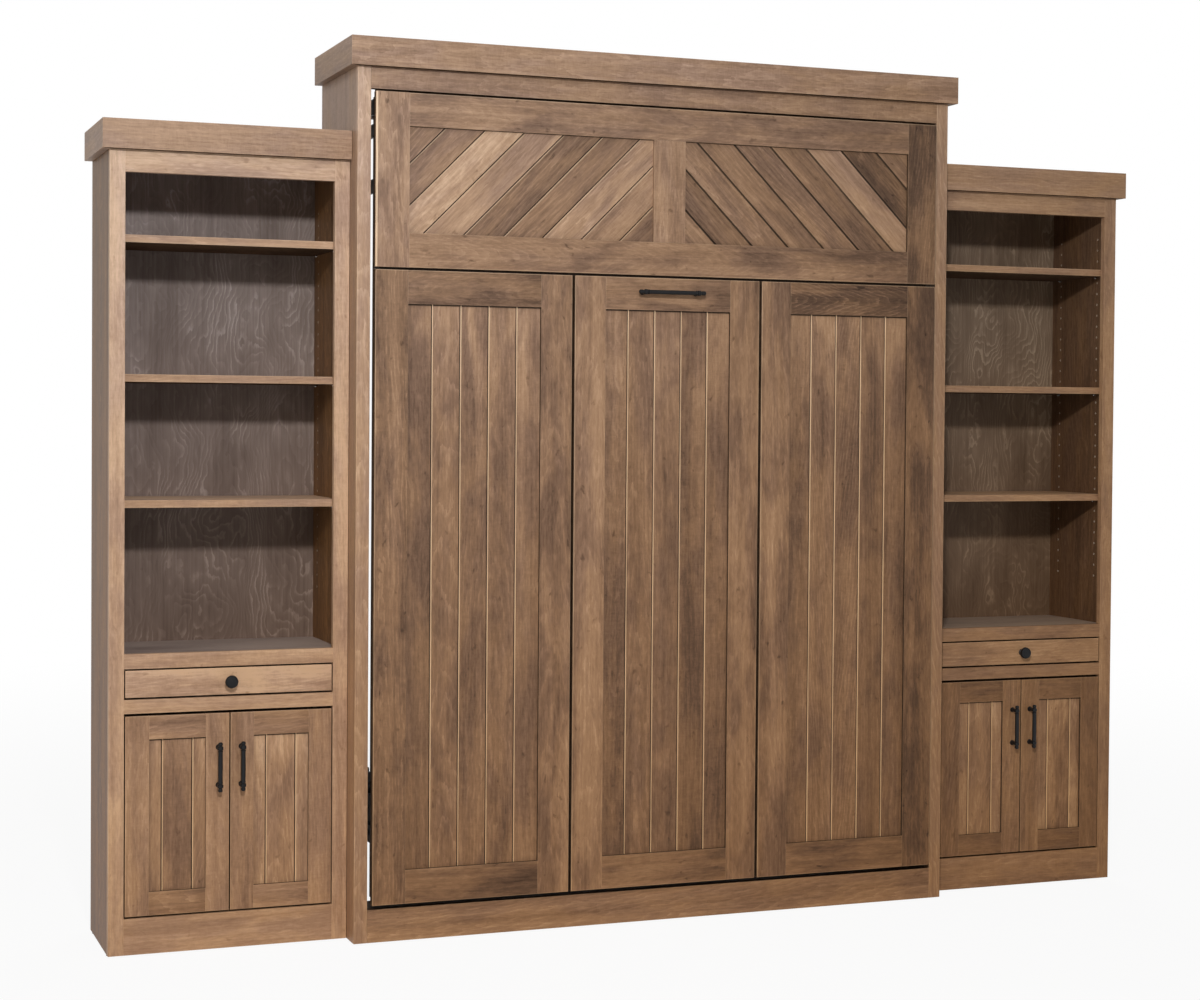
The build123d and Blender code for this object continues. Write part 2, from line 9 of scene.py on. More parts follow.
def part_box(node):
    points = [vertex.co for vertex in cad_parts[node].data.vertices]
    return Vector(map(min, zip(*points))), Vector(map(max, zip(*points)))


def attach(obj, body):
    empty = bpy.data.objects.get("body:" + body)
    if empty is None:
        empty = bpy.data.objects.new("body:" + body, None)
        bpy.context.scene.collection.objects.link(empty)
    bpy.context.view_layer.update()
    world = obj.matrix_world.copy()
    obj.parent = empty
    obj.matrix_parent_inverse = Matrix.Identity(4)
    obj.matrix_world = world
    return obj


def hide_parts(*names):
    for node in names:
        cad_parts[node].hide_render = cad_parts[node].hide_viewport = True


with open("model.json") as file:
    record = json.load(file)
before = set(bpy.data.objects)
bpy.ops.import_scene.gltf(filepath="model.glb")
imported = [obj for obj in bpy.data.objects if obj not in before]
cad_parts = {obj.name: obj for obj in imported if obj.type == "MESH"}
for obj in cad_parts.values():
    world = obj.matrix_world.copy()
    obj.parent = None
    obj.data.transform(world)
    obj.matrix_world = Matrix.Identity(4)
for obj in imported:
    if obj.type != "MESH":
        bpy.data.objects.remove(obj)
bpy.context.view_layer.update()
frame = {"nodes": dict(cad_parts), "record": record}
nodes = frame["nodes"]
bodies = frame["record"]["behaviour"]["bodies"]
bodyOf = {member: body for body, members in bodies.items() for member in members}
slotOf = {row["node"]: row["material_slot"] for row in frame["record"]["subparts"]}
sides = {"left": -1, "right": 1}
print("frame loaded:", len(nodes), "nodes")


# node trees: a value is an output of a node, and arithmetic on it adds math nodes

def setInputs(node, inputs):
    # a value is linked, and anything else is set on the input itself
    for key, value in inputs.items():
        if isinstance(value, Value):
            node.id_data.links.new(value.socket, node.inputs[key])
        else:
            node.inputs[key].default_value = value


def addNode(tree, kind, inputs=None, output=0, **settings):
    node = tree.nodes.new(kind)
    for key, value in settings.items():
        setattr(node, key, value)
    setInputs(node, inputs or {})
    return Value(node.outputs[output])


class Value:
    def __init__(self, socket):
        self.socket = socket

    def add(self, kind, inputs, output=0, **settings):
        return addNode(self.socket.id_data, kind, inputs, output, **settings)

    def math(self, operation, second=0.0):
        return self.add("ShaderNodeMath", {0: self, 1: second}, operation=operation)

    def __add__(self, second):
        return self.math("ADD", second)

    def __sub__(self, second):
        return self.math("SUBTRACT", second)

    def __mul__(self, second):
        return self.math("MULTIPLY", second)

    def larger(self, second):
        return self.math("MAXIMUM", second)

    def vary(self, values, shares):
        # adds each noise, centred on its middle, times its share
        total = self
        for value, share in zip(values, shares):
            total = total + (value - 0.5) * share
        return total

    def linear(self, fromLow, fromHigh, toLow=0.0, toHigh=1.0, kind="LINEAR"):
        limits = {"Value": self, "From Min": fromLow, "From Max": fromHigh, "To Min": toLow, "To Max": toHigh}
        return self.add("ShaderNodeMapRange", limits, interpolation_type=kind)

    def smooth(self, *limits):
        return self.linear(*limits, kind="SMOOTHSTEP")

    def split(self):
        first = self.add("ShaderNodeSeparateXYZ", {0: self})
        return [Value(socket) for socket in first.socket.node.outputs]

    def mix(self, first, second):
        # a colour between two, as far along as this value says
        return self.add("ShaderNodeMix", {0: self, 6: first, 7: second}, 2, data_type="RGBA")

    def tint(self, colour):
        inputs = {0: 1.0, 6: self, 7: colour}
        return self.add("ShaderNodeMix", inputs, 2, data_type="RGBA", blend_type="MULTIPLY")

    def ramp(self, stops):
        colour = self.add("ShaderNodeValToRGB", {"Fac": self})
        ramp = colour.socket.node.color_ramp
        while len(ramp.elements) < len(stops):
            ramp.elements.new(0.5)
        for element, (place, tone) in zip(ramp.elements, stops):
            element.position = place
            element.color = (*tone, 1.0)
        return colour

    def noise(self, stretch, detail=3.0, roughness=0.55, distortion=0.0, seed=None):
        # noise whose spots are 1/stretch long along each axis, in metres
        scaled = self.add("ShaderNodeVectorMath", {0: self, 1: stretch}, operation="MULTIPLY")
        inputs = {"Vector": scaled, "Scale": 1.0, "Detail": detail, "Roughness": roughness,
                  "Distortion": distortion}
        if seed is None:
            return self.add("ShaderNodeTexNoise", inputs)
        return self.add("ShaderNodeTexNoise", {**inputs, "W": seed}, noise_dimensions="4D")

    def bump(self, strength, distance):
        return self.add("ShaderNodeBump", {"Height": self, "Strength": strength, "Distance": distance})


def newMaterial(name):
    material = bpy.data.materials.new(name)
    material.use_nodes = True
    tree = material.node_tree
    return material, tree, tree.nodes["Principled BSDF"]


def attribute(tree, name, output="Vector"):
    return addNode(tree, "ShaderNodeAttribute", None, output, attribute_name=name)


def objectPoint(tree):
    return addNode(tree, "ShaderNodeTexCoord", None, "Object")


# finishes

paintedLightSpan = {"across": (-1.45, 1.45), "height": (0.05, 2.30)}


def addPaintedLight(colour, look):
    # painted light: the tint of the stain drifts over the whole object as the lamps' light would, paler and
    # cooler towards the upper left
    across, _, height = objectPoint(colour.socket.id_data).split()
    sideways = across.linear(*paintedLightSpan["across"]).mix((*look["left"], 1.0), (*look["right"], 1.0))
    upwards = height.linear(*paintedLightSpan["height"]).mix((*look["low"], 1.0), (*look["high"], 1.0))
    return colour.tint(sideways).tint(upwards)


mapleLook = {
    "stops": (
        (0.00, (0.050, 0.0275, 0.0155)),
        (0.25, (0.132, 0.0735, 0.0410)),
        (0.50, (0.255, 0.1460, 0.0830)),
        (0.75, (0.400, 0.2420, 0.1430)),
        (1.00, (0.580, 0.3800, 0.2400)),
    ),
    "rubbedAndLit": (0.82, 0.565, 0.345, 1.0), "pooledAndShaded": (0.016, 0.010, 0.007, 1.0), "poolAndShadowShare": 0.88,
    "shaded": (0.97, 0.985, 1.06, 1.0), "clear": (1.015, 1.0, 0.95, 1.0),
    # noises: stretch along and across the grain, detail, roughness and distortion
    "wander": ((1.6, 5.0, 5.0), 2.0), "wanderReach": 0.03,
    "noises": {
        "fibres": ((42.0, 240.0, 240.0), 3.0, 0.7),
        "streaks": ((2.8, 150.0, 150.0), 4.0, 0.62),
        "bands": ((1.0, 30.0, 30.0), 2.0, 0.5),
        "blotches": ((3.4, 12.0, 12.0), 4.0, 0.6, 0.4),
        "patches": ((15.0, 42.0, 42.0), 4.0, 0.62, 0.8),
        "curls": ((120.0, 34.0, 34.0), 3.0, 0.6, 1.2),
    },
    "flecks": ((34.0, 60.0, 60.0), 2.0, 0.5, 0.6), "fleckSeed": 5.0, "fleckRange": (0.64, 0.78),
    "grainShares": (0.42, 0.42, 0.36), "spotShares": (0.16, 0.24, 0.16),
    "rings": 120.0, "wobble": ((6.0, 24.0, 24.0), 4.0, 0.6), "wobbleReach": 0.034,
    "late": (0.50, 1.0), "early": 0.25, "latePatches": (0.36, 0.62, 0.25, 1.0), "blotchRange": (0.36, 0.62),
    "fade": (0.40, 1.0), "fadeBlotches": (0.34, 0.6, 0.5, 1.4),
    "headSeam": (0.0016, 0.0056, 1.0, 0.0), "sideSeam": (0.0004, 0.0024, 1.0, 0.0),
    "unworn": (0.0, 0.2, 1.0, 0.0), "rubStreaks": (0.25, 0.62, 0.5, 1.0), "specular": 0.16,
    "roughness": (0.2, 0.8, 0.42, 0.55), "reliefShares": (0.6, 0.5), "relief": (0.2, 0.0005),
    # painted light over the whole object, from left to right and from low to high
    "paintedLight": {"left": (1.10, 1.15, 1.24), "right": (0.91, 0.86, 0.77), "low": (0.94, 0.86, 0.75),
              "high": (1.05, 1.15, 1.31)},
    # painted light for the side boards: lighter and warmer on the left, cooler high up
    "sidePaintedLight": {"left": (1.24, 1.11, 0.80), "right": (0.91, 0.87, 0.79), "low": (0.97, 0.88, 0.76),
                  "high": (1.02, 1.12, 1.26)},
}


def makeMaple(name, paintedLight):
    look = mapleLook
    material, tree, shader = newMaterial(name)
    grain = attribute(tree, "grain")
    along, across, tone = attribute(tree, "place").split()
    halfLength, halfWidth, seed = attribute(tree, "reach").split()
    mottle, endShade, poolAndShadow = attribute(tree, "mood").split()
    ringShare, curlShare, lean = attribute(tree, "figure").split()
    wearAndLight = attribute(tree, "wearAndLight", "Fac")

    # the grain wanders a little across the board
    wander = (grain.noise(*look["wander"], seed=seed) - 0.5) * look["wanderReach"]
    shift = grain.add("ShaderNodeCombineXYZ", {"Y": wander})
    flow = grain.add("ShaderNodeVectorMath", {0: grain, 1: shift}, operation="ADD")
    run, side, through = flow.split()
    fibres, streaks, bands, blotches, patches, curls = (
        flow.noise(*noise, seed=seed) for noise in look["noises"].values())
    flecks = flow.noise(*look["flecks"], seed=seed + look["fleckSeed"]).smooth(*look["fleckRange"])

    # growth rings round a heart below the face; the heart leans, so pale arches stack up along the board
    wobble = grain.noise(*look["wobble"], seed=seed) * look["wobbleReach"]
    radius = (side * side + through * through).math("SQRT") + run * lean + wobble
    ring = (radius * look["rings"]).math("FRACT")
    late = (ring.smooth(*look["late"]) - look["early"]) * patches.smooth(*look["latePatches"])

    # how light the stain is: grain, spots, rings, curls and the fade towards the head
    shade = blotches.smooth(*look["blotchRange"])
    shadeShare, patchShare, fleckShare = look["spotShares"]
    spots = (shade - 0.5) * shadeShare + (patches - 0.5) * patchShare - flecks * fleckShare
    fade = along.smooth(*look["fade"]) * endShade * blotches.linear(*look["fadeBlotches"])
    depth = tone.vary((fibres, streaks, bands), look["grainShares"])
    depth = depth + spots * mottle + late * ringShare + (curls - 0.5) * curlShare + fade

    # a dark line where the head and the left edge of a plank meet the frame: stain pooled in the joint, and
    # painted shadow of the frame, so it lies only at the top and the left
    endGap = (along * -1.0 + 1.0) * halfLength
    sideGap = (across + 1.0) * halfWidth
    seam = endGap.smooth(*look["headSeam"]).larger(sideGap.smooth(*look["sideSeam"]))
    seam = seam * poolAndShadow * wearAndLight.smooth(*look["unworn"])

    # positive wear is rubbed bright, real on eased and rounded edges and a painted highlight on the grooves
    # and on the chevron's left edge; negative wear is painted shade, mixed towards the dark pooled colour
    stain = depth.ramp(look["stops"]).tint(shade.mix(look["shaded"], look["clear"]))
    rubbedAndLit = wearAndLight.larger(0.0) * streaks.smooth(*look["rubStreaks"])
    dark = (wearAndLight * -1.0).larger(seam * look["poolAndShadowShare"])
    colour = dark.mix(rubbedAndLit.mix(stain, look["rubbedAndLit"]), look["pooledAndShaded"])
    streakShare, fibreShare = look["reliefShares"]
    setInputs(shader, {
        "Base Color": addPaintedLight(colour, paintedLight),
        "Roughness": streaks.linear(*look["roughness"]),
        "Normal": (streaks * streakShare + fibres * fibreShare).bump(*look["relief"]),
        "Specular IOR Level": look["specular"],
    })
    return material


plywoodLook = {
    "stops": (
        (0.00, (0.046, 0.029, 0.018)),
        (0.40, (0.122, 0.081, 0.053)),
        (0.65, (0.205, 0.145, 0.100)),
        (1.00, (0.400, 0.310, 0.225)),
    ),
    # noises: stretch along and across the grain, detail, roughness and distortion
    "noises": {
        "hills": ((2.4, 5.0, 5.0), 3.0, 0.5, 0.3),
        "wobble": ((14.0, 30.0, 30.0), 4.0, 0.6),
        "streaks": ((5.0, 210.0, 210.0), 4.0, 0.6),
        "clouds": ((3.2, 6.0, 6.0), 3.0, 0.55),
    },
    "ripple": ((4.0, 12.0, 12.0), 3.0, 0.6, 0.6), "rippleSeed": 7.0,
    "lines": 44.0, "hillLines": 30.0, "wobbleLines": 2.6,
    "lineRise": (0.55, 0.88), "lineFall": (0.90, 1.0, 1.0, 0.0), "lineRipple": (0.42, 0.66, 0.05, 1.0),
    "lineShare": 0.17, "shares": (0.46, 0.72, 0.40, 0.07),    # streaks, clouds, ripple and rings
    "roughness": (0.2, 0.8, 0.44, 0.56), "relief": (0.22, 0.0005), "specular": 0.20,
    "haze": (0.70, 0.80, 1.0, 1.0), "hazeWeight": 0.10, "hazeRoughness": 0.35,
    # painted light over the whole object: much darker and warmer low down, lighter and cooler high up
    "paintedLight": {"left": (1.04, 1.10, 1.24), "right": (1.06, 0.97, 0.78), "low": (0.73, 0.54, 0.37),
              "high": (1.24, 1.46, 1.86)},
}


def makePlywood():
    look = plywoodLook
    material, tree, shader = newMaterial("stainedPlywood")
    grain = attribute(tree, "grain")
    side = grain.split()[1]
    tone = attribute(tree, "place").split()[2]
    seed = attribute(tree, "reach").split()[2]
    # rotary-cut veneer: pale lines along the sheet that bend round hills and close into loops
    hills, wobble, streaks, clouds = (grain.noise(*noise, seed=seed) for noise in look["noises"].values())
    ripple = grain.noise(*look["ripple"], seed=seed + look["rippleSeed"])
    count = side * look["lines"] + hills * look["hillLines"] + wobble * look["wobbleLines"]
    ring = count.math("FRACT")
    lines = ring.smooth(*look["lineRise"]) * ring.smooth(*look["lineFall"])
    lines = lines * ripple.smooth(*look["lineRipple"])
    depth = tone.vary((streaks, clouds, ripple, ring), look["shares"]) + lines * look["lineShare"]
    setInputs(shader, {
        "Base Color": addPaintedLight(depth.ramp(look["stops"]), look["paintedLight"]),
        "Roughness": streaks.linear(*look["roughness"]),
        "Normal": streaks.bump(*look["relief"]),
        "Specular IOR Level": look["specular"],
        "Sheen Weight": look["hazeWeight"],    # a faint cool haze on boards seen along their face
        "Sheen Roughness": look["hazeRoughness"],
        "Sheen Tint": look["haze"],
    })
    return material


objectLook = {"broad": 0.12, "fineShare": 0.6, "broadShare": 0.4, "blend": (0.3, 0.7), "rough": (0.25, 0.75),
              "smoother": 0.06, "rougher": 0.08, "distance": 0.0003}


def makeObjectFinish(name, dark, light, stretch, roughness, metallic=0.0, relief=0.15, specular=0.5):
    # a finish on object coordinates, mottled between two colours
    look = objectLook
    material, tree, shader = newMaterial(name)
    point = objectPoint(tree)
    fine = point.noise(stretch, 4.0, 0.6)
    broad = point.noise(tuple(value * look["broad"] for value in stretch), 2.0)
    blend = (fine * look["fineShare"] + broad * look["broadShare"]).smooth(*look["blend"])
    rough = fine.linear(*look["rough"], roughness - look["smoother"], roughness + look["rougher"])
    setInputs(shader, {"Base Color": blend.mix((*dark, 1.0), (*light, 1.0)), "Roughness": rough,
                       "Normal": fine.bump(relief, look["distance"]), "Metallic": metallic,
                       "Specular IOR Level": specular})
    return material


# a copy of the maple whose painted light suits the side boards
sideLitMaple = makeMaple("stainedMapleVeneerSideLight", mapleLook["sidePaintedLight"])
finishes = {
    "stained_maple": makeMaple("stainedMaple", mapleLook["paintedLight"]),
    "maple_plywood": makePlywood(),
    "black_steel": makeObjectFinish("blackSteel", (0.004, 0.004, 0.005), (0.010, 0.010, 0.011),
                                    (900.0, 900.0, 900.0), 0.40, specular=0.22),
    "polished_steel": makeObjectFinish("polishedSteel", (0.62, 0.62, 0.63), (0.80, 0.80, 0.81),
                                       (400.0, 400.0, 2500.0), 0.24, 1.0, 0.05),
    "glide_plastic": makeObjectFinish("glidePlastic", (0.012, 0.012, 0.012), (0.028, 0.028, 0.028),
                                      (1200.0, 1200.0, 1200.0), 0.55),
}
# painted shade: dark, nearly matt plywood for the parts seen only through dark slits
paintedShadePlywood = makeObjectFinish("paintedShadePlywood", (0.040, 0.026, 0.016), (0.085, 0.058, 0.038),
                                 (3.0, 140.0, 140.0), 0.7, specular=0.05)
# painted shade: a dull dark brown for the sides of boards that face gaps and for undersides
paintedShadeFinish = makeObjectFinish("paintedShadeFinish", (0.052, 0.032, 0.020), (0.115, 0.072, 0.046),
                            (60.0, 60.0, 60.0), 0.85, specular=0.02)
bareMaple = makeObjectFinish("bareMaple", (0.46, 0.37, 0.27), (0.64, 0.54, 0.42), (700.0, 700.0, 700.0), 0.6)
# painted shade: near black for the inside of the pin holes
paintedHoleShade = makeObjectFinish("paintedHoleShade", (0.010, 0.008, 0.006), (0.020, 0.016, 0.012),
                            (700.0, 700.0, 700.0), 0.8)
print("finishes made:", len(bpy.data.materials))


# helpers for meshes

def joinTo(piece, part):
    mesh = bpy.data.meshes.new("part")
    part.to_mesh(mesh)
    part.free()
    piece.from_mesh(mesh)
    bpy.data.meshes.remove(mesh)


def addBlock(part, size):
    bmesh.ops.create_cube(part, size=1.0)
    bmesh.ops.scale(part, vec=size, verts=part.verts)


def bevel(part, edges, offset, segments):
    if not edges:
        return []
    return bmesh.ops.bevel(part, geom=edges, offset=offset, offset_type="OFFSET", affect="EDGES",
                           segments=segments, profile=0.5, material=-1)["faces"]


def sharpEdges(part, angle):
    return [edge for edge in part.edges if edge.is_manifold and edge.calc_face_angle() > angle]


def shadeSmooth(part):
    for face in part.faces:
        face.smooth = True


def placePiece(piece, name, materials, body, replaced=()):
    # turns a bmesh into an object that rides on its body
    mesh = bpy.data.meshes.new(name)
    piece.to_mesh(mesh)
    piece.free()
    for material in materials:
        mesh.materials.append(material)
    obj = bpy.data.objects.new(name, mesh)
    bpy.context.scene.collection.objects.link(obj)
    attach(obj, body)
    if replaced:
        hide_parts(*replaced)
    return obj


# boards: each one is made alone, painted with its grain and then joined to its piece

boardLook = {
    "ease": 0.0006, "easeSegments": 2, "easeWear": 0.2, "roundSegments": 4, "roundWearAndHighlight": 0.25,
    # grooves: a painted highlight on the facet that looks left and painted shade on the other
    "groove": 0.0023, "grooveLightAndShade": (0.85, -0.85), "sharpAngle": 1.2, "seed": 11, "same": 1e-5,
    # drawn for each board: its place in the log, its seed, and its rings, curls and lean
    "start": ((-1.2, 1.2), (-0.10, 0.10), (0.02, 0.14)), "seeds": (0.0, 60.0),
    "figure": ((0.03, 0.17), (0.0, 0.22), (-0.12, 0.12)),
    "archCurls": 0.1, "archLean": 0.26, "archHeart": (0.006, 0.03),
}
boardLayers = ("grain", "place", "reach", "mood", "figure")
boardDraw = random.Random(boardLook["seed"])


def addBoard(piece, box, along, tone=0.5, mottle=1.0, x=None, y=None, z=None, ease=boardLook["ease"],
             rounds=None, roundWearAndHighlight=boardLook["roundWearAndHighlight"], grooves=(), grooveLightAndShade=boardLook["grooveLightAndShade"],
             turn=0.0, cuts=(), endShade=0.0, poolAndShadow=0.0, rings=None, dark=None):
    # fills the box, or the part of it that x, y and z span, with the grain along one axis
    # rounds: (radius, axes) of the front edges on the outside of the box; grooves: x of chamfered edges
    # dark: which faces get painted shade, a thick dull dark brown, the "sides" that face a gap or the one
    # "under" the board
    low, high = (Vector(corner) for corner in box)
    for axis, span in enumerate((x, y, z)):
        if span:
            low[axis], high[axis] = span
    centre, size = (low + high) / 2, high - low
    board = bmesh.new()
    wearAndLightLayer = board.faces.layers.float.new("wearAndLight")
    addBlock(board, size)
    bmesh.ops.translate(board, vec=centre, verts=board.verts)
    board.normal_update()

    def markWearAndLight(edges, offset, segments, wearAndLight):
        for face in bevel(board, edges, offset, segments):
            face[wearAndLightLayer] = wearAndLight

    def frontEdges(xValues, zValues=()):
        # edges of the front face that lie along one of the given x or z values
        same = boardLook["same"]
        chosen = []
        for edge in board.edges:
            a, b = (vert.co for vert in edge.verts)
            alongX = any(abs(a.x - value) + abs(b.x - value) < same for value in xValues)
            alongZ = any(abs(a.z - value) + abs(b.z - value) < same for value in zValues)
            if max(a.y, b.y) - low.y <= same and (alongX or alongZ):
                chosen.append(edge)
        return chosen

    if rounds:
        radius, axes = rounds
        outside = [[corner[axis] for corner in box] if "xyz"[axis] in axes else [] for axis in (0, 2)]
        markWearAndLight(frontEdges(*outside), radius, boardLook["roundSegments"], roundWearAndHighlight)
    for value in grooves:
        # painted light on the grooves: the facet that looks left takes the first value and the other the
        # second; a positive value is a painted highlight on partly rubbed wood, and a negative one is painted
        # shade
        wearAndLight = grooveLightAndShade[0 if value < centre.x else 1]
        markWearAndLight(frontEdges((value,)), boardLook["groove"], 1, wearAndLight)
    if ease:
        edges = sharpEdges(board, boardLook["sharpAngle"])
        markWearAndLight(edges, ease, boardLook["easeSegments"], boardLook["easeWear"])
    # faces in gaps or under the board get painted shade
    if dark:
        for face in board.faces:
            chosen = face.normal.z < -0.9 if dark == "under" else abs(face.normal.y) < 0.1
            if chosen and not face[wearAndLightLayer]:
                face.material_index = 1
    turning = Matrix.Rotation(turn, 3, "Y")
    if turn:
        bmesh.ops.rotate(board, cent=centre, matrix=turning, verts=board.verts)
    for point, normal in cuts:
        whole = board.verts[:] + board.edges[:] + board.faces[:]
        cut = bmesh.ops.bisect_plane(board, geom=whole, dist=1e-6, plane_co=point, plane_no=normal,
                                     clear_outer=True)["geom_cut"]
        rim = [item for item in cut if isinstance(item, bmesh.types.BMEdge)]
        if rim:
            bmesh.ops.contextual_create(board, geom=rim)
    if not board.verts:
        board.free()
        return

    # grain coordinates: along the grain, across the face and through the thickness
    wide, thin = sorted((axis for axis in range(3) if axis != along), key=lambda axis: -size[axis])
    start = [boardDraw.uniform(*span) for span in boardLook["start"]]
    flip = boardDraw.choice((-1.0, 1.0))
    seed = boardDraw.uniform(*boardLook["seeds"])
    figure = [boardDraw.uniform(*span) for span in boardLook["figure"]]
    if rings is not None:
        # the heart lies under the board and leans, so that arches show
        figure = [rings, boardLook["archCurls"], math.copysign(boardLook["archLean"], figure[2])]
        start[1:] = boardLook["archHeart"]
    layers = [board.verts.layers.float_vector.new(name) for name in boardLayers]
    back = turning.inverted()
    for vert in board.verts:
        local = back @ (vert.co - centre)
        run, side, through = local[along], local[wide], local[thin]
        paint = (
            (run * flip + start[0], side + start[1], through + start[2]),
            (2 * run / size[along], 2 * side / size[wide], tone),
            (size[along] / 2, size[wide] / 2, seed),
            (mottle, endShade, poolAndShadow),
            figure,
        )
        for layer, value in zip(layers, paint):
            vert[layer] = value
    bmesh.ops.recalc_face_normals(board, faces=board.faces)
    joinTo(piece, board)


def makeWood(node, addBoards, *details, finish=None, **options):
    # one piece of boards, on the box of the node that it replaces
    piece = bmesh.new()
    piece.faces.layers.float.new("wearAndLight")
    for name in boardLayers:
        piece.verts.layers.float_vector.new(name)
    addBoards(piece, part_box(node), *details, **options)
    slot = slotOf[node]
    coats = [finish or finishes[slot]]
    # faces marked dark take the painted shade finish
    if any(face.material_index for face in piece.faces):
        coats.append(paintedShadeFinish)
    placePiece(piece, node + "_wood", coats, bodyOf[node], (node,))


# bed cabinet

cabinetWood = {
    "edgeBand": 0.019, "round": 0.0016, "edgeTone": {"left": 0.74, "right": 0.69}, "edgeMottle": 0.55,
    "edgeShade": 0.10, "sideTone": 0.67, "sideMottle": 0.4,
    "rails": {"bed_header_rail": 0.55, "bed_base_rail": 0.62}, "railMottle": 0.8,
    "panels": {"bed_top_panel": (0, 0.5), "bed_deck": (2, 0.05)},    # axis of the grain, tone
}
stretcher = {"width": 0.089, "board": 0.019, "tone": 0.1}
bedRails = {"ear": 0.060, "earHeights": (2.1075, 2.1575), "board": 0.018, "endBoard": 0.012, "tone": 0.86}
crownWood = {
    "mitres": {"bed_crown": (-1, 1), "left_pier_crown": (-1,), "right_pier_crown": (1,)},
    "tones": {"bed_crown": 0.61, "left_pier_crown": 0.62, "right_pier_crown": 0.68},
    "returnLift": 0.02, "mottle": 0.35,
}


def addCabinetSide(piece, box, edgeTone):
    low, high = box
    look = cabinetWood
    bandBack = low.y + look["edgeBand"]
    addBoard(piece, box, 2, edgeTone, look["edgeMottle"], y=(low.y, bandBack), rounds=(look["round"], "x"),
             endShade=look["edgeShade"])
    addBoard(piece, box, 2, look["sideTone"], look["sideMottle"], y=(bandBack, high.y), ease=0.0)


def addStretchers(piece, box):
    # one flat on the floor at the back and one behind the base rail
    low, high = box
    width, board, tone = stretcher.values()
    addBoard(piece, box, 0, tone, y=(high.y - width, high.y), z=(low.z, low.z + board))
    addBoard(piece, box, 0, tone, y=(low.y, low.y + width), z=(high.z - board, high.z))


def addSideRails(piece, box):
    low, high = box
    earFront, tone = low.y + bedRails["ear"], bedRails["tone"]
    for start in (low.x, high.x - bedRails["board"]):
        span = (start, start + bedRails["board"])
        addBoard(piece, box, 2, tone, x=span, y=(low.y, earFront))
        addBoard(piece, box, 2, tone, x=span, y=(earFront, high.y), z=bedRails["earHeights"])


def addEndRails(piece, box):
    low, high = box
    for start in (low.z, high.z - bedRails["endBoard"]):
        addBoard(piece, box, 0, bedRails["tone"], z=(start, start + bedRails["endBoard"]))


def addCrown(piece, box, front, mitres, tone):
    # a front board and a return behind it at each mitred end
    low, high = box
    thickness, mottle = front - low.y, crownWood["mottle"]
    cuts = []
    for side in mitres:
        outer = low.x if side < 0 else high.x
        corner = Vector((outer, low.y, 0))
        across = Vector((side, 1, 0)) / math.sqrt(2)
        cuts.append((corner, across))
        addBoard(piece, box, 1, tone + crownWood["returnLift"], mottle,
                 x=sorted((outer, outer - side * thickness)), cuts=[(corner, -across)])
    # the underside of the front board gets painted shade
    addBoard(piece, box, 0, tone, mottle, y=(low.y, low.y + thickness), cuts=cuts, dark="under")


for name in sides:
    makeWood(f"bed_{name}_side", addCabinetSide, cabinetWood["edgeTone"][name])
for node, tone in cabinetWood["rails"].items():
    # the rails' sides in the gaps get painted shade
    makeWood(node, addBoard, 0, tone, cabinetWood["railMottle"], dark="sides")
for node, details in cabinetWood["panels"].items():
    makeWood(node, addBoard, *details)
# the floor stretcher gets the dark plywood as painted shade under the bed
makeWood("floor_stretcher", addStretchers, finish=paintedShadePlywood)
makeWood("bed_side_rails", addSideRails)
makeWood("bed_end_rails", addEndRails)
for node, mitres in crownWood["mitres"].items():
    behind = "bed_header_rail" if node == "bed_crown" else node.replace("crown", "face_frame")
    makeWood(node, addCrown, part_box(behind)[0].y, mitres, crownWood["tones"][node])
print("bed cabinet wood made")


# framed and planked panels

panelWood = {
    "frame": (0.086, 0.087, 0.086),    # widths of the stiles, the low rail and the high rail
    "round": 0.0024, "pitch": 0.07565, "slot": 0.0004,
    "tongueWidth": 0.010, "tongueThick": 0.004, "tongueTone": 0.1, "tongueMottle": 0.2,
    # tones of stiles, rails and planks, and how strong the rings show on the two rails
    "left": ((0.39, 0.51), (0.43, 0.35), (0.40, 0.46, 0.45, 0.43, 0.48), (None, 0.08)),
    "centre": ((0.58, 0.50), (0.44, 0.46), (0.43, 0.45, 0.46, 0.39, 0.43), (None, None)),
    "right": ((0.52, 0.36), (0.41, 0.325), (0.42, 0.48, 0.48, 0.40, 0.43), (None, 0.20)),
    "frameMottle": 1.6, "plankMottle": 1.15, "endShade": 0.11, "frameEndShade": -0.05,
}


def addFrame(piece, box, widths, tones, radius, mottle, figures=(None, None), leftRim=None):
    # tones: left and right stile, then low and high rail
    # leftRim: (radius, wear with a painted highlight) of the left edge where it is rounder than the others
    low, high = box
    stile, railLow, railHigh = widths
    (leftTone, rightTone), railTones = tones
    left, right = low.x + stile, high.x - stile
    rims = (radius, "xz")
    # the sides that face gaps get painted shade
    shared = {"endShade": panelWood["frameEndShade"], "dark": "sides"}
    leftRadius, leftWearAndHighlight = leftRim or (radius, boardLook["roundWearAndHighlight"])
    addBoard(piece, box, 2, leftTone, mottle, x=(low.x, left), roundWearAndHighlight=leftWearAndHighlight,
             rounds=(leftRadius, "x" if leftRim else "xz"), **shared)
    addBoard(piece, box, 2, rightTone, mottle, x=(right, high.x), rounds=rims, **shared)
    heights = ((low.z, low.z + railLow), (high.z - railHigh, high.z))
    for span, tone, figure in zip(heights, railTones, figures):
        addBoard(piece, box, 0, tone, mottle, x=(left, right), z=span, rounds=rims, rings=figure, **shared)


def addTongue(piece, box, joint, **placing):
    # a dark strip behind the joint of two planks
    half = panelWood["tongueWidth"] / 2
    front = (box[0].y + box[1].y) / 2
    addBoard(piece, box, 2, panelWood["tongueTone"], panelWood["tongueMottle"],
             x=(joint - half, joint + half), y=(front, front + panelWood["tongueThick"]), ease=0.0, **placing)


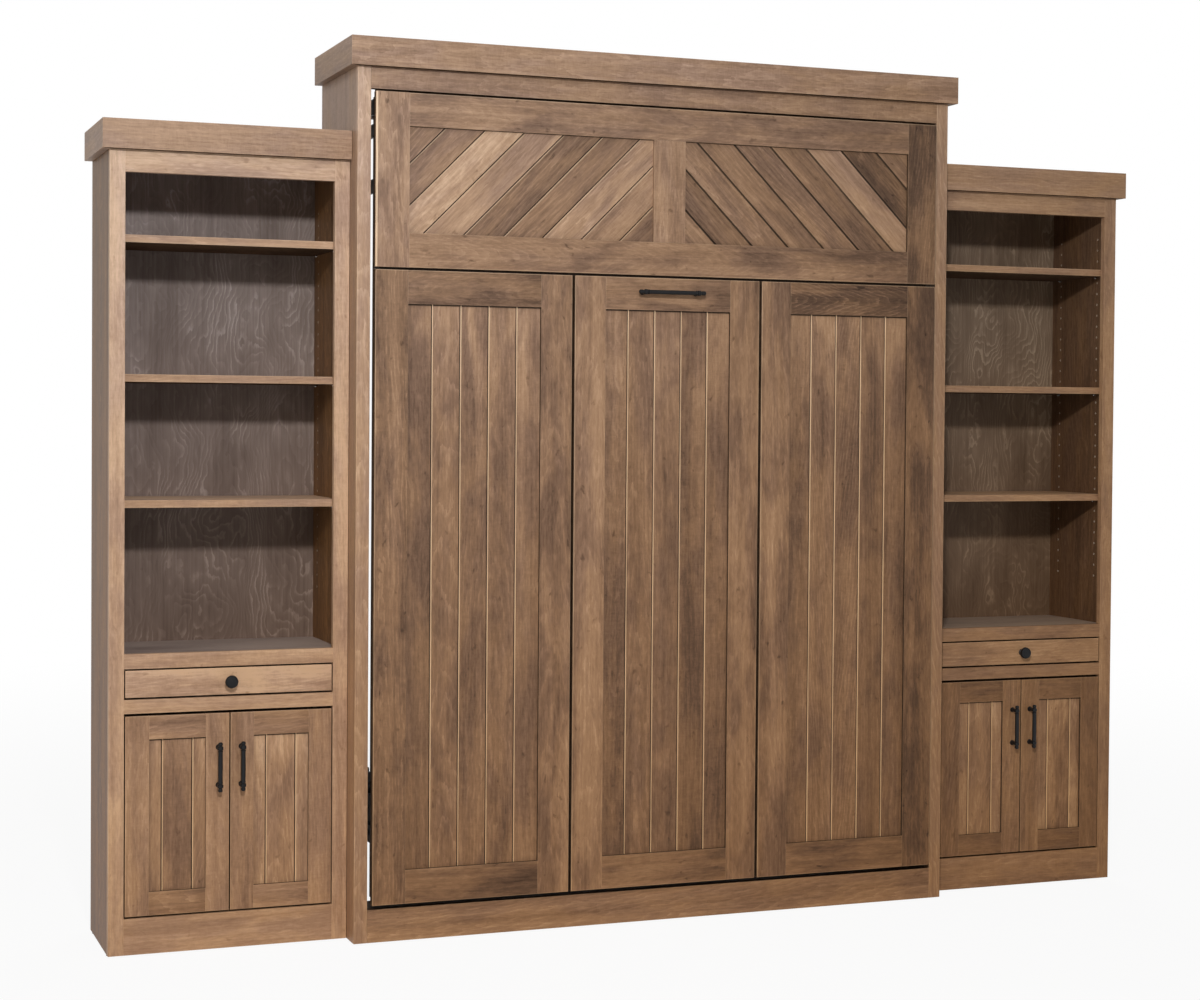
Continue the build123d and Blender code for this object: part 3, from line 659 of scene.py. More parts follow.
def addPlanks(piece, box, tones, mottle):
    # planks centred on the panel, the outer two cut down to fit, with a tongue behind each joint
    low, high = box
    last, slot = len(tones) - 1, panelWood["slot"]
    middle = (low.x + high.x) / 2
    joints = [middle + (step - (last - 1) / 2) * panelWood["pitch"] for step in range(last)]
    for index, tone in enumerate(tones):
        left = joints[index - 1] + slot if index else low.x
        right = joints[index] - slot if index < last else high.x
        inner = [value for value in (left, right) if low.x < value < high.x]
        addBoard(piece, box, 2, tone, mottle, x=(left, right), ease=0.0, grooves=inner,
                 endShade=panelWood["endShade"], poolAndShadow=1.0)
    for joint in joints:
        addTongue(piece, box, joint)


for name in ("left", "centre", "right"):
    stiles, rails, planks, figures = panelWood[name]
    makeWood(f"{name}_face_frame", addFrame, panelWood["frame"], (stiles, rails), panelWood["round"],
             panelWood["frameMottle"], figures)
    makeWood(f"{name}_face_planks", addPlanks, planks, panelWood["plankMottle"])
print("bed face made")


# chevron footboard panel

chevronWood = {
    "frame": (0.088, 0.088, 0.0845), "centreStile": 0.090, "joint": 0.0002,
    "first": 0.082, "before": 3, "reach": 0.72,
    # leftRim: the left edge is rounder and carries a bright painted highlight
    "frameTones": ((0.59, 0.32), (0.475, 0.50)), "figures": (0.08, 0.06), "leftRim": (0.0045, 0.95),
    "centreTone": 0.585, "centreMottle": 1.4, "plankMottle": 1.2, "poolAndShadow": 0.6,
    # painted light on the grooves: a painted highlight and painted shade on the left half, painted shade on
    # both facets on the right half
    "grooveLightAndShade": {"left": (0.4, -0.92), "right": (-0.72, -0.92)},
    "left": (0.52, 0.58, 0.68, 0.45, 0.40, 0.67, 0.76, 0.52, 0.46),
    "right": (0.47, 0.33, 0.49, 0.45, 0.51, 0.38, 0.66, 0.26, 0.42),
}
centreHalf = chevronWood["centreStile"] / 2


def addChevronFrame(piece, box):
    look = chevronWood
    addFrame(piece, box, look["frame"], look["frameTones"], panelWood["round"], panelWood["frameMottle"],
             look["figures"], look["leftRim"])
    field = [corner.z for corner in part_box("chevron_planks")]
    addBoard(piece, box, 2, look["centreTone"], look["centreMottle"], x=(-centreHalf, centreHalf), z=field)


def addChevronPlanks(piece, box):
    # each plank is made upright at the field's head, turned about its own middle and cut to the field
    low, high = box
    look = chevronWood
    plankStep = panelWood["pitch"] * math.sqrt(2)
    half = panelWood["pitch"] / 2 - panelWood["slot"]
    for name, side in sides.items():
        cuts = [
            (Vector((side * (centreHalf + look["joint"]), 0, 0)), Vector((-side, 0, 0))),
            (Vector((side * high.x, 0, 0)), Vector((side, 0, 0))),
            (Vector((0, 0, low.z)), Vector((0, 0, -1))),
            (Vector((0, 0, high.z)), Vector((0, 0, 1))),
        ]
        placing = {"z": (high.z - look["reach"], high.z + look["reach"]), "turn": -side * math.pi / 4,
                   "cuts": cuts}
        for step, tone in enumerate(look[name], -look["before"]):
            middle = side * (look["first"] + (step + 0.5) * plankStep)
            span = (middle - half, middle + half)
            addBoard(piece, box, 2, tone, look["plankMottle"], x=span, ease=0.0, grooves=span,
                     grooveLightAndShade=look["grooveLightAndShade"][name], poolAndShadow=look["poolAndShadow"], **placing)
            addTongue(piece, box, side * (look["first"] + step * plankStep), **placing)


makeWood("chevron_frame", addChevronFrame)
makeWood("chevron_planks", addChevronPlanks)
print("chevron panel made")


# side piers

pierWood = {
    "board": 0.019, "stile": 0.038, "round": 0.0012,
    "frameTone": {"left": 0.86, "right": 0.73}, "frameDrops": (0.02, 0.05), "frameMottles": (1.2, 0.95),
    "rails": ((1.942, 2.060), (0.7145, 0.7515), (0.6035, 0.638), (0.0035, 0.0935)),
    # the panels and the shelves are lighter than their wood, as painted sheen on their tops
    "panelTops": (2.060, 0.7515, 0.631, 0.0935), "panelToneAndSheen": 0.94,
    "shelfTops": (1.7895, 1.4445, 1.1315), "shelfTone": 0.69, "shelfMottles": (0.7, 0.5),
    "sideTone": 0.30, "sideMottle": 0.35, "backTone": 0.58,
    "drawerTone": {"left": 0.90, "right": 0.68}, "drawerMottle": 1.7, "drawerRound": 0.0016,
    "boxWall": 0.012, "boxFloor": (0.652, 0.658), "boxTones": (0.66, 0.6), "boxMottle": 0.6,
    "doorHeights": (0.0985, 0.597), "doorFrame": 0.059, "doorRecess": 0.008, "doorMottle": 1.0,
    # tones of stiles, rails and planks, and the mottle of the planks
    "left_outer_door": ((0.66, 0.66), (0.58, 0.62), (0.56, 0.50, 0.58), 1.1),
    "left_inner_door": ((0.62, 0.70), (0.66, 0.60), (0.70, 0.65, 0.74), 1.1),
    "right_inner_door": ((0.50, 0.58), (0.46, 0.44), (0.68, 0.64, 0.78), 1.1),
    "right_outer_door": ((0.58, 0.48), (0.42, 0.44), (0.74, 0.60, 0.72), 2.0),
}


def addPierFrame(piece, box, tone):
    low, high = box
    stileDrop, railDrop = pierWood["frameDrops"]
    stileMottle, railMottle = pierWood["frameMottles"]
    left, right = low.x + pierWood["stile"], high.x - pierWood["stile"]
    rims = (pierWood["round"], "x")
    addBoard(piece, box, 2, tone, stileMottle, x=(low.x, left), rounds=rims)
    addBoard(piece, box, 2, tone - stileDrop, stileMottle, x=(right, high.x), rounds=rims)
    for span in pierWood["rails"]:
        addBoard(piece, box, 0, tone - railDrop, railMottle, x=(left, right), z=span)


def addPierSides(piece, box):
    low, high = box
    board = pierWood["board"]
    for span in ((low.x, low.x + board), (high.x - board, high.x)):
        addBoard(piece, box, 2, pierWood["sideTone"], pierWood["sideMottle"], x=span, ease=0.0)


def addPierPanels(piece, box):
    for top in pierWood["panelTops"]:
        addBoard(piece, box, 0, pierWood["panelToneAndSheen"], z=(top - pierWood["board"], top))


def addPierShelves(piece, box):
    # each shelf has a solid band along its front edge
    low, high = box
    bandMottle, shelfMottle = pierWood["shelfMottles"]
    bandBack = low.y + pierWood["board"]
    for top in pierWood["shelfTops"]:
        shelf = (Vector((low.x, low.y, top - pierWood["board"])), Vector((high.x, high.y, top)))
        # the undersides of the shelf band and the shelf get painted shade
        addBoard(piece, shelf, 0, pierWood["shelfTone"], bandMottle, y=(low.y, bandBack),
                 rounds=(pierWood["round"], "z"), dark="under")
        addBoard(piece, shelf, 0, pierWood["panelToneAndSheen"], shelfMottle, y=(bandBack, high.y), ease=0.0,
                 dark="under")


def addDrawerBox(piece, box):
    low, high = box
    wall, mottle = pierWood["boxWall"], pierWood["boxMottle"]
    wallTone, floorTone = pierWood["boxTones"]
    across, back = (low.x + wall, high.x - wall), high.y - wall
    for start in (low.x, high.x - wall):
        addBoard(piece, box, 1, wallTone, mottle, x=(start, start + wall))
    addBoard(piece, box, 0, wallTone, mottle, x=across, y=(back, high.y))
    addBoard(piece, box, 0, floorTone, mottle, x=across, y=(low.y, back), z=pierWood["boxFloor"], ease=0.0)


def addDoor(piece, box, stiles, rails, planks, mottle):
    low, high = box
    low.z, high.z = pierWood["doorHeights"]    # the box also holds the pivot pins above and below the door
    rim = pierWood["doorFrame"]
    addFrame(piece, (low, high), (rim, rim, rim), (stiles, rails), pierWood["drawerRound"],
             pierWood["doorMottle"])
    field = (Vector((low.x + rim, low.y + pierWood["doorRecess"], low.z + rim)),
             Vector((high.x - rim, high.y, high.z - rim)))
    addPlanks(piece, field, planks, mottle)


for name in sides:
    makeWood(f"{name}_pier_face_frame", addPierFrame, pierWood["frameTone"][name])
    makeWood(f"{name}_pier_sides", addPierSides, finish=sideLitMaple)
    makeWood(f"{name}_pier_back", addBoard, 2, pierWood["backTone"], ease=0.0)
    makeWood(f"{name}_pier_panels", addPierPanels)
    makeWood(f"{name}_pier_shelves", addPierShelves)
    # the drawer front's sides get painted shade
    makeWood(f"{name}_drawer_front", addBoard, 0, pierWood["drawerTone"][name], pierWood["drawerMottle"],
             rounds=(pierWood["drawerRound"], "xz"), dark="sides")
    makeWood(f"{name}_drawer_box", addDrawerBox)
    for spot in ("inner", "outer"):
        node = f"{name}_{spot}_door"
        makeWood(node, addDoor, *pierWood[node])
print("pier wood made")


# turned metal pieces

def addLathe(piece, profile, place, steps=32, materialIndex=0):
    # profile: (radius, height) points from the foot upwards, closed at both ends; place: a 4x4 matrix
    turned = bmesh.new()
    verts = [turned.verts.new((radius, 0, height)) for radius, height in profile]
    edges = [turned.edges.new(pair) for pair in zip(verts, verts[1:])]
    bmesh.ops.spin(turned, geom=verts + edges, cent=(0, 0, 0), axis=(0, 0, 1), angle=2 * math.pi, steps=steps,
                   use_merge=True, use_duplicate=False)
    bmesh.ops.remove_doubles(turned, verts=turned.verts, dist=1e-6)
    bmesh.ops.recalc_face_normals(turned, faces=turned.faces)
    shadeSmooth(turned)
    for face in turned.faces:
        face.material_index = materialIndex
    bmesh.ops.transform(turned, matrix=place, verts=turned.verts)
    joinTo(piece, turned)


def placeSteel(piece, name, node, replaced=(), crisp=0.6):
    # black steel, whose crisp rings stay crisp under smooth shading
    for edge in sharpEdges(piece, crisp):
        edge.smooth = False
    placePiece(piece, name, [finishes["black_steel"]], bodyOf[node], replaced)


# (radius, height) points of a bar's tip, of the two rims of its collar and of a post
pullLook = {
    "bar": 0.0059, "collarWidth": 0.008, "standoff": 0.026, "postSteps": 24,
    "tip": ((0.0, 0.0), (0.0026, 0.0), (0.0040, -0.0008), (0.0056, -0.0026)),
    "outerRim": ((0.0056, 0.0042), (0.0047, 0.0030), (0.0047, 0.0010), (0.0066, 0.0), (0.0072, -0.0008)),
    "innerRim": ((0.0072, 0.0008), (0.0066, 0.0), (0.0047, -0.0008), (0.0047, -0.0020), (0.0065, -0.0030),
                 (0.0065, -0.0046), (0.0055, -0.0060)),
    "post": ((0.0, 0.0), (0.0072, 0.0), (0.0072, 0.0014), (0.0056, 0.0034), (0.0050, 0.008), (0.0050, 0.022),
             (0.0, 0.022)),
    "bed": {"length": 0.191, "centres": 0.1524},
    "door": {"length": 0.125, "centres": 0.095},
}
knobLook = {
    "profile": (
        (0.0, 0.0), (0.0095, 0.0), (0.0095, 0.0012), (0.0074, 0.0026), (0.0064, 0.0075), (0.0072, 0.0120),
        (0.0122, 0.0146), (0.0152, 0.0164), (0.01625, 0.0190), (0.01625, 0.0226), (0.0156, 0.0254),
        (0.0146, 0.0268), (0.0136, 0.0270), (0.0128, 0.0264), (0.0122, 0.0256), (0.0080, 0.0261),
        (0.0, 0.0263),
    ),
    "steps": 40,
}
outward = Matrix.Rotation(math.pi / 2, 4, "X")    # a lathe's +Z turned to -Y


def barProfile(length, centres):
    # half of the bar from its tip to its middle, then mirrored
    post, wide = centres / 2, pullLook["collarWidth"] / 2
    half = []
    for part, base in (("tip", length / 2), ("outerRim", post + wide), ("innerRim", post - wide)):
        half += [(radius, base + height) for radius, height in pullLook[part]]
    return [(radius, -height) for radius, height in half] + [(pullLook["bar"], 0.0)] + half[::-1]


def makePull(node, length, centres, upright):
    low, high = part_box(node)
    x, _, z = (low + high) / 2
    lay = Matrix.Identity(4) if upright else Matrix.Rotation(math.pi / 2, 4, "Y")
    piece = bmesh.new()
    axis = Matrix.Translation((x, high.y - pullLook["standoff"], z))
    addLathe(piece, barProfile(length, centres), axis @ lay)
    for offset in (-centres / 2, centres / 2):
        foot = (x, high.y, z + offset) if upright else (x + offset, high.y, z)
        addLathe(piece, pullLook["post"], Matrix.Translation(foot) @ outward, pullLook["postSteps"])
    placeSteel(piece, node + "_turned", node, (node,))


makePull("bed_handle", **pullLook["bed"], upright=False)
for name in sides:
    for spot in ("inner", "outer"):
        makePull(f"{name}_{spot}_door_pull", **pullLook["door"], upright=True)
for name in sides:
    node = f"{name}_drawer_knob"
    low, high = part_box(node)
    piece = bmesh.new()
    spot = Matrix.Translation(((low.x + high.x) / 2, high.y, (low.z + high.z) / 2))
    addLathe(piece, knobLook["profile"], spot @ outward, knobLook["steps"])
    placeSteel(piece, node + "_turned", node, (node,))
print("pulls and knobs made")


# shelf pins and the rows of pin holes

pinLook = {"radius": 0.0025, "length": 0.009, "ease": 0.0005, "clear": 0.00005, "steps": 16,
           "depths": (0.138, 0.332)}
holeLook = {"pitch": 0.032, "low": 0.889, "high": 1.900, "steps": 10, "radius": 0.0015, "rim": 0.0029,
            "rimEase": 0.0003, "proud": 0.0003, "sunk": -0.0004, "lip": 0.00004, "shadeDisc": (-0.0002, 0.00008)}
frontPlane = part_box("bed_header_rail")[0].y

radius, length, ease = (pinLook[key] for key in ("radius", "length", "ease"))
pinProfile = ((0.0, 0.0), (radius, 0.0), (radius, length - ease), (radius - ease, length), (0.0, length))
bore, rim, proud, sunk = (holeLook[key] for key in ("radius", "rim", "proud", "sunk"))
# a pale ring of bare wood round the bore, and inside it a near-black disc as painted shade for the hole
rimProfile = ((0.0, sunk), (rim, sunk), (rim, 0.0), (rim - holeLook["rimEase"], proud), (bore, proud),
              (bore, holeLook["lip"]))
shadeDiscLow, shadeDiscHigh = holeLook["shadeDisc"]
shadeDiscProfile = ((0.0, shadeDiscLow), (bore, shadeDiscLow), (bore, shadeDiscHigh), (0.0, shadeDiscHigh))
rowCount = int((holeLook["high"] - holeLook["low"]) / holeLook["pitch"]) + 1
pins = bmesh.new()
for name in sides:
    low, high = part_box(f"{name}_pier_sides")
    holes = bmesh.new()
    for facing, wallX in ((1, low.x + pierWood["board"]), (-1, high.x - pierWood["board"])):
        toward = Matrix.Rotation(facing * math.pi / 2, 4, "Y")
        for depth in pinLook["depths"]:
            y = frontPlane + depth
            for top in pierWood["shelfTops"]:
                z = top - pierWood["board"] - radius - pinLook["clear"]
                addLathe(pins, pinProfile, Matrix.Translation((wallX, y, z)) @ toward, pinLook["steps"])
            for row in range(rowCount):
                z = holeLook["low"] + row * holeLook["pitch"]
                place = Matrix.Translation((wallX, y, z)) @ toward
                addLathe(holes, rimProfile, place, holeLook["steps"])
                addLathe(holes, shadeDiscProfile, place, holeLook["steps"], 1)
    placePiece(holes, f"{name}_pier_pin_holes", [bareMaple, paintedHoleShade], "cabinet")
placePiece(pins, "shelf_pins_turned", [finishes["polished_steel"]], "cabinet",
           ("shelf_pins",))
print("shelf pins and holes made")


# mattress: a rounded box of quads, its quilting lines held while the cloth between them is blown up

tickingLook = {"loops": 620.0, "figure": ((42.0, 42.0, 42.0), 2.0, 0.4, 1.8), "motif": (0.46, 0.54),
               "soil": ((3.0, 3.0, 3.0), 3.0), "motifShare": 0.5, "soilShare": 0.5,
               "dark": (0.70, 0.685, 0.65, 1.0), "light": (0.82, 0.81, 0.785, 1.0),
               "roughness": (0.0, 1.0, 0.82, 0.70), "loopRelief": 0.5, "motifRelief": 0.7,
               "relief": (0.35, 0.0012), "sheen": 0.2, "specular": 0.2}
webbingLook = {"ribs": (130.0, 0.4, "Z"), "picks": (85.0, 0.6, "DIAGONAL"),    # scale, distortion and way
               "roughness": (0.0, 1.0, 0.62, 0.78), "relief": (0.5, 0.0006)}
mattressLook = {
    "inset": 0.0075, "edge": 0.036, "cells": (8, 11), "perCell": 9, "sideRows": 10, "sunk": 0.009,
    "underside": 0.002, "heldSides": 0.79, "seam": 0.7, "fill": 0.75,
    "pressure": 7.5, "mass": 0.3, "quality": 5, "frames": 20, "swell": 0.0085,
    "tape": 0.004, "tapeInset": 0.0085, "tapeDepths": (0.034, 0.180),
}


def makeTicking():
    # knitted ticking: fine loops, a soft raised figure and a little cotton haze
    look = tickingLook
    material, tree, shader = newMaterial("mattressTicking")
    point = objectPoint(tree)
    loops = point.add("ShaderNodeTexVoronoi", {"Vector": point, "Scale": look["loops"]}, "Distance")
    motif = point.noise(*look["figure"]).smooth(*look["motif"])
    soil = point.noise(*look["soil"])
    shade = motif * look["motifShare"] + soil * look["soilShare"]
    relief = loops * look["loopRelief"] + motif * look["motifRelief"]
    setInputs(shader, {"Base Color": shade.mix(look["dark"], look["light"]),
                       "Roughness": motif.linear(*look["roughness"]), "Normal": relief.bump(*look["relief"]),
                       "Sheen Weight": look["sheen"], "Specular IOR Level": look["specular"]})
    return material


def makeWebbing(name, dark, light):
    # close ribs along and across a woven band
    material, tree, shader = newMaterial(name)
    point = objectPoint(tree)
    waves = []
    for key in ("ribs", "picks"):
        scale, distortion, way = webbingLook[key]
        inputs = {"Vector": point, "Scale": scale, "Distortion": distortion}
        waves.append(point.add("ShaderNodeTexWave", inputs, 1, bands_direction=way))
    weave = waves[0] * waves[1]
    setInputs(shader, {"Base Color": weave.mix((*dark, 1.0), (*light, 1.0)),
                       "Roughness": weave.linear(*webbingLook["roughness"]),
                       "Normal": weave.bump(*webbingLook["relief"])})
    return material


finishes["mattress_ticking"] = makeTicking()
finishes["strap_webbing"] = makeWebbing("strapWebbing", (0.006, 0.006, 0.007), (0.032, 0.032, 0.034))
tapeFinish = makeWebbing("mattressTape", (0.30, 0.30, 0.31), (0.46, 0.46, 0.47))


def blowUp(obj, heldIndices, look):
    # pressure swells the cloth between the held points, then no point may stay further out than the swell
    start = [vert.co.copy() for vert in obj.data.vertices]
    held = obj.vertex_groups.new(name="held")
    held.add(heldIndices, 1.0, "REPLACE")
    cloth = obj.modifiers.new("cloth", "CLOTH")
    settings = cloth.settings
    settings.use_pressure = True
    settings.uniform_pressure_force = look["pressure"]
    settings.effector_weights.gravity = 0.0
    settings.vertex_group_mass = "held"
    settings.quality = look["quality"]
    settings.mass = look["mass"]
    cloth.collision_settings.use_collision = False
    scene = bpy.context.scene
    for step in range(1, look["frames"] + 1):
        scene.frame_set(step)
    evaluated = obj.evaluated_get(bpy.context.evaluated_depsgraph_get())
    moved = [vert.co.copy() for vert in evaluated.data.vertices]
    obj.modifiers.remove(cloth)
    obj.vertex_groups.clear()
    scene.frame_set(1)
    for vert, before, after in zip(obj.data.vertices, start, moved):
        step = after - before
        if step.length > look["swell"]:
            step *= look["swell"] / step.length
        vert.co = before + step


low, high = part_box("mattress")
inset, edge, perCell = (mattressLook[key] for key in ("inset", "edge", "perCell"))
padLow = low + Vector((inset, mattressLook["underside"], inset))
padHigh = high - Vector((inset, mattressLook["sunk"], inset))
columns, rows = (cells * perCell for cells in mattressLook["cells"])
pad = bmesh.new()
bmesh.ops.create_cube(pad, size=2.0)
for axis, cuts in ((0, columns - 1), (2, rows - 1), (1, mattressLook["sideRows"] - 1)):
    parallel = [e for e in pad.edges if abs((e.verts[1].co - e.verts[0].co).normalized()[axis]) > 0.99]
    bmesh.ops.subdivide_edges(pad, edges=parallel, cuts=cuts, use_grid_fill=True)
half = (padHigh - padLow) / 2
middle = (padHigh + padLow) / 2
heldIndices = []
stitched = set()
for index, vert in enumerate(pad.verts):
    x, y, z = vert.co
    column, row = round((x + 1) / 2 * columns), round((z + 1) / 2 * rows)
    onTop = y > 0.999
    onQuilt = onTop and (column % perCell == 0 or row % perCell == 0)
    if onQuilt:
        stitched.add(vert)
    if onQuilt or not onTop and abs(y) > mattressLook["heldSides"]:
        heldIndices.append(index)
    # rounded box: pull the point in to the inner box, then push it out by the edge radius
    point = Vector(value * reach for value, reach in zip(vert.co, half))
    core = Vector(max(edge - reach, min(reach - edge, value)) for value, reach in zip(point, half))
    out = point - core
    if out.length > 1e-6:
        # spread the corner rows evenly round the arc
        turns = (min(abs(value) / edge, 1.0) * math.pi / 4 for value in out)
        spread = Vector(math.copysign(math.tan(turn), value) for turn, value in zip(turns, out))
        out = spread.normalized() * edge
    vert.co = middle + core + out
bmesh.ops.recalc_face_normals(pad, faces=pad.faces)
shadeSmooth(pad)
# the stitched lines stay creased between the swollen squares
creases = pad.edges.layers.float.new("crease_edge")
for stitch in pad.edges:
    if stitch.verts[0] in stitched and stitch.verts[1] in stitched:
        stitch[creases] = mattressLook["seam"]
mattress = placePiece(pad, "mattress_quilted", [finishes["mattress_ticking"]], bodyOf["mattress"],
                      ("mattress",))
blowUp(mattress, heldIndices, mattressLook)
smooth = mattress.modifiers.new("smooth", "SUBSURF")
smooth.levels = smooth.render_levels = 1
print("mattress made")


def sweepTube(piece, points, radius, count=10):
    # a closed tube through points that lie in one upright plane facing +Y
    depth = Vector((0, 1, 0))
    rings = []
    for index, point in enumerate(points):
        ahead = points[(index + 1) % len(points)] - points[index - 1]
        side = ahead.normalized().cross(depth)
        ring = []
        for step in range(count):
            angle = 2 * math.pi * step / count
            ring.append(piece.verts.new(point + side * math.cos(angle) * radius
                                        + depth * math.sin(angle) * radius))
        rings.append([piece.edges.new((ring[step], ring[(step + 1) % count])) for step in range(count)])
    for index, ring in enumerate(rings):
        bmesh.ops.bridge_loops(piece, edges=ring + rings[(index + 1) % len(rings)])


def roundedLoop(low, high, y, radius, steps=8):
    # points round an upright rectangle with rounded corners
    left, right, bottom, top = low.x + radius, high.x - radius, low.z + radius, high.z - radius
    points = []
    for turn, (x, z) in enumerate(((right, top), (left, top), (left, bottom), (right, bottom))):
        for step in range(steps + 1):
            angle = math.pi / 2 * (turn + step / steps)
            points.append(Vector((x + radius * math.cos(angle), y, z + radius * math.sin(angle))))
    return points


tape = bmesh.new()
reachIn = Vector((mattressLook["tapeInset"], 0, mattressLook["tapeInset"]))
for depth in mattressLook["tapeDepths"]:
    sweepTube(tape, roundedLoop(low + reachIn, high - reachIn, low.y + depth, edge), mattressLook["tape"])
bmesh.ops.recalc_face_normals(tape, faces=tape.faces)
shadeSmooth(tape)
placePiece(tape, "mattress_tape", [tapeFinish], bodyOf["mattress"])

# straps: a flat band up one side of the mattress, across it and down the other, with a buckle on each
strapLook = {
    "width": 0.050, "thick": 0.0015, "heights": (0.820, 1.560), "foot": 0.0605, "footBend": 0.004,
    "side": 0.7445, "corner": 0.038, "rise": 0.0008, "arcSteps": 8,
    "buckleX": -0.34, "buckle": (0.058, 0.009, 0.064), "buckleCorner": (0.006, 4), "buckleEase": (0.0008, 2),
    "sharpAngle": 0.9, "window": 0.010, "windowSlope": 0.0012, "windowDepth": 0.004,
    "bar": 0.0022, "barLength": 0.060, "barRise": 0.008, "barSteps": 16,
}
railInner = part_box("bed_end_rails")[1].x
anchorY = frontPlane + strapLook["foot"]
topY = high.y + strapLook["rise"]
strapX, bend, radius = -strapLook["side"], strapLook["footBend"], strapLook["corner"]
path = [Vector((-railInner, anchorY)), Vector((strapX - bend, anchorY)), Vector((strapX, anchorY + bend))]
for step in range(strapLook["arcSteps"] + 1):
    angle = math.pi - math.pi / 2 * step / strapLook["arcSteps"]
    path.append(Vector((strapX + radius + radius * math.cos(angle),
                        topY - radius + radius * math.sin(angle))))
path += [Vector((-point.x, point.y)) for point in reversed(path)]
straps = bmesh.new()
for height in strapLook["heights"]:
    band = bmesh.new()
    rim = [band.verts.new((*path[0], height + end * strapLook["width"] / 2)) for end in (-1, 1)]
    front = [band.edges.new(rim)]
    for before, after in zip(path, path[1:]):
        made = bmesh.ops.extrude_edge_only(band, edges=front)["geom"]
        verts = [item for item in made if isinstance(item, bmesh.types.BMVert)]
        front = [item for item in made if isinstance(item, bmesh.types.BMEdge)]
        bmesh.ops.translate(band, verts=verts, vec=(after.x - before.x, after.y - before.y, 0))
    bmesh.ops.recalc_face_normals(band, faces=band.faces)
    bmesh.ops.solidify(band, geom=band.faces[:], thickness=strapLook["thick"])
    bmesh.ops.recalc_face_normals(band, faces=band.faces)
    joinTo(straps, band)
placePiece(straps, "mattress_straps_woven", [finishes["strap_webbing"]], bodyOf["mattress_straps"],
           ("mattress_straps",))

buckles = bmesh.new()
buckleX, bar, barLength = (strapLook[key] for key in ("buckleX", "bar", "barLength"))
buckleY = topY + strapLook["buckle"][1] / 2 + strapLook["thick"]
barProfilePoints = ((0.0, 0.0), (bar, 0.0), (bar, barLength), (0.0, barLength))
for height in strapLook["heights"]:
    block = bmesh.new()
    addBlock(block, strapLook["buckle"])
    upright = [e for e in block.edges if abs(e.verts[0].co.y - e.verts[1].co.y) > 1e-4]
    bevel(block, upright, *strapLook["buckleCorner"])
    # a window sunk in the front, split by the bar that the band turns round
    face = max(block.faces, key=lambda item: item.calc_center_median().y)
    bmesh.ops.inset_region(block, faces=[face], thickness=strapLook["window"], depth=0.0)
    bmesh.ops.inset_region(block, faces=[face], thickness=strapLook["windowSlope"],
                           depth=-strapLook["windowDepth"])
    bevel(block, sharpEdges(block, strapLook["sharpAngle"]), *strapLook["buckleEase"])
    bmesh.ops.translate(block, vec=(buckleX, buckleY, height), verts=block.verts)
    joinTo(buckles, block)
    lay = Matrix.Translation((buckleX, topY + strapLook["barRise"], height - barLength / 2))
    addLathe(buckles, barProfilePoints, lay, strapLook["barSteps"])
placePiece(buckles, "mattress_strap_buckles", [finishes["glide_plastic"]], bodyOf["mattress_straps"])
print("straps made")


# bolt and screw heads on the steel fittings

boltLook = {"socket": 0.4, "sunk": 0.5, "round": 0.0008, "steps": 20}
# x of the face, whether it looks inwards, radius, height, and the spots (depth behind the front, height)
boltRows = {
    "pivot_plates": (0.805, True, 0.0062, 0.006, ((0.034, 0.346), (0.034, 0.442))),
    "pivot_plates_back": (0.805, True, 0.0055, 0.0034, ((0.102, 0.346), (0.102, 0.442))),
    "strut_anchors": (0.805, True, 0.0042, 0.0024,
                      ((0.170, 0.972), (0.210, 0.972), (0.170, 1.012), (0.210, 1.012))),
    "bed_brackets": (0.787, False, 0.0055, 0.0034,
                     ((0.042, 0.262), (0.042, 0.322), (0.074, 0.296), (0.042, 0.416))),
    "footboard_arms": (0.792, False, 0.0045, 0.0026,
                       ((0.019, 1.932), (0.019, 2.002), (0.019, 2.072), (0.019, 2.132))),
}
for name, (faceX, inward, radius, height, spots) in boltRows.items():
    # a round head with a socket sunk in it
    socket, sunk, ease = radius * boltLook["socket"], height * boltLook["sunk"], boltLook["round"]
    profile = ((0.0, 0.0), (radius, 0.0), (radius, height - ease), (radius - ease, height), (socket, height),
               (socket, height - sunk), (0.0, height - sunk))
    piece = bmesh.new()
    for side in sides.values():
        turn = Matrix.Rotation((-side if inward else side) * math.pi / 2, 4, "Y")
        for depth, z in spots:
            spot = Matrix.Translation((side * faceX, frontPlane + depth, z))
            addLathe(piece, profile, spot @ turn, boltLook["steps"])
    placeSteel(piece, name + "_bolts", name.replace("_back", ""))
print("bolts made")


# nodes that keep their shape get their finish

for node, obj in nodes.items():
    # the wall rail gets the dark plywood as painted shade in the header slit
    finish = paintedShadePlywood if node == "wall_rail" else finishes.get(slotOf[node])
    if obj.hide_render or finish is None:
        continue
    if not obj.material_slots:
        obj.data.materials.append(finish)
    for slot in obj.material_slots:
        slot.material = finish
print("kept nodes finished")


# stage, light and camera

stageLook = {"floorSize": 60.0, "floor": (0.86, 0.86, 0.86, 1.0), "roughness": 0.9, "specular": 0.1,
             "ambient": 0.22, "warmth": (1.0, 0.945, 0.89, 1.0), "white": (1.0, 1.0, 1.0, 1.0),
             "whiteNear": 0.92, "fade": (2.0, 7.0)}
# place, aim, size, power and tint
lamps = {
    "key": ((-1.7, -4.4, 3.0), (0.0, -0.1, 1.15), 0.30, 120.0, (1.0, 0.985, 0.985)),
    "sky": ((-1.0, -2.4, 4.3), (0.0, 0.0, 1.7), 1.2, 15.0, (0.94, 0.97, 1.0)),
    "leftFill": ((-5.2, -2.2, 2.2), (-1.0, 0.0, 1.1), 2.6, 36.0, (1.0, 0.94, 0.80)),
    "backFill": ((2.5, 5.0, 3.4), (0.0, 0.0, 1.1), 3.0, 90.0, (1.0, 1.0, 1.0)),
}
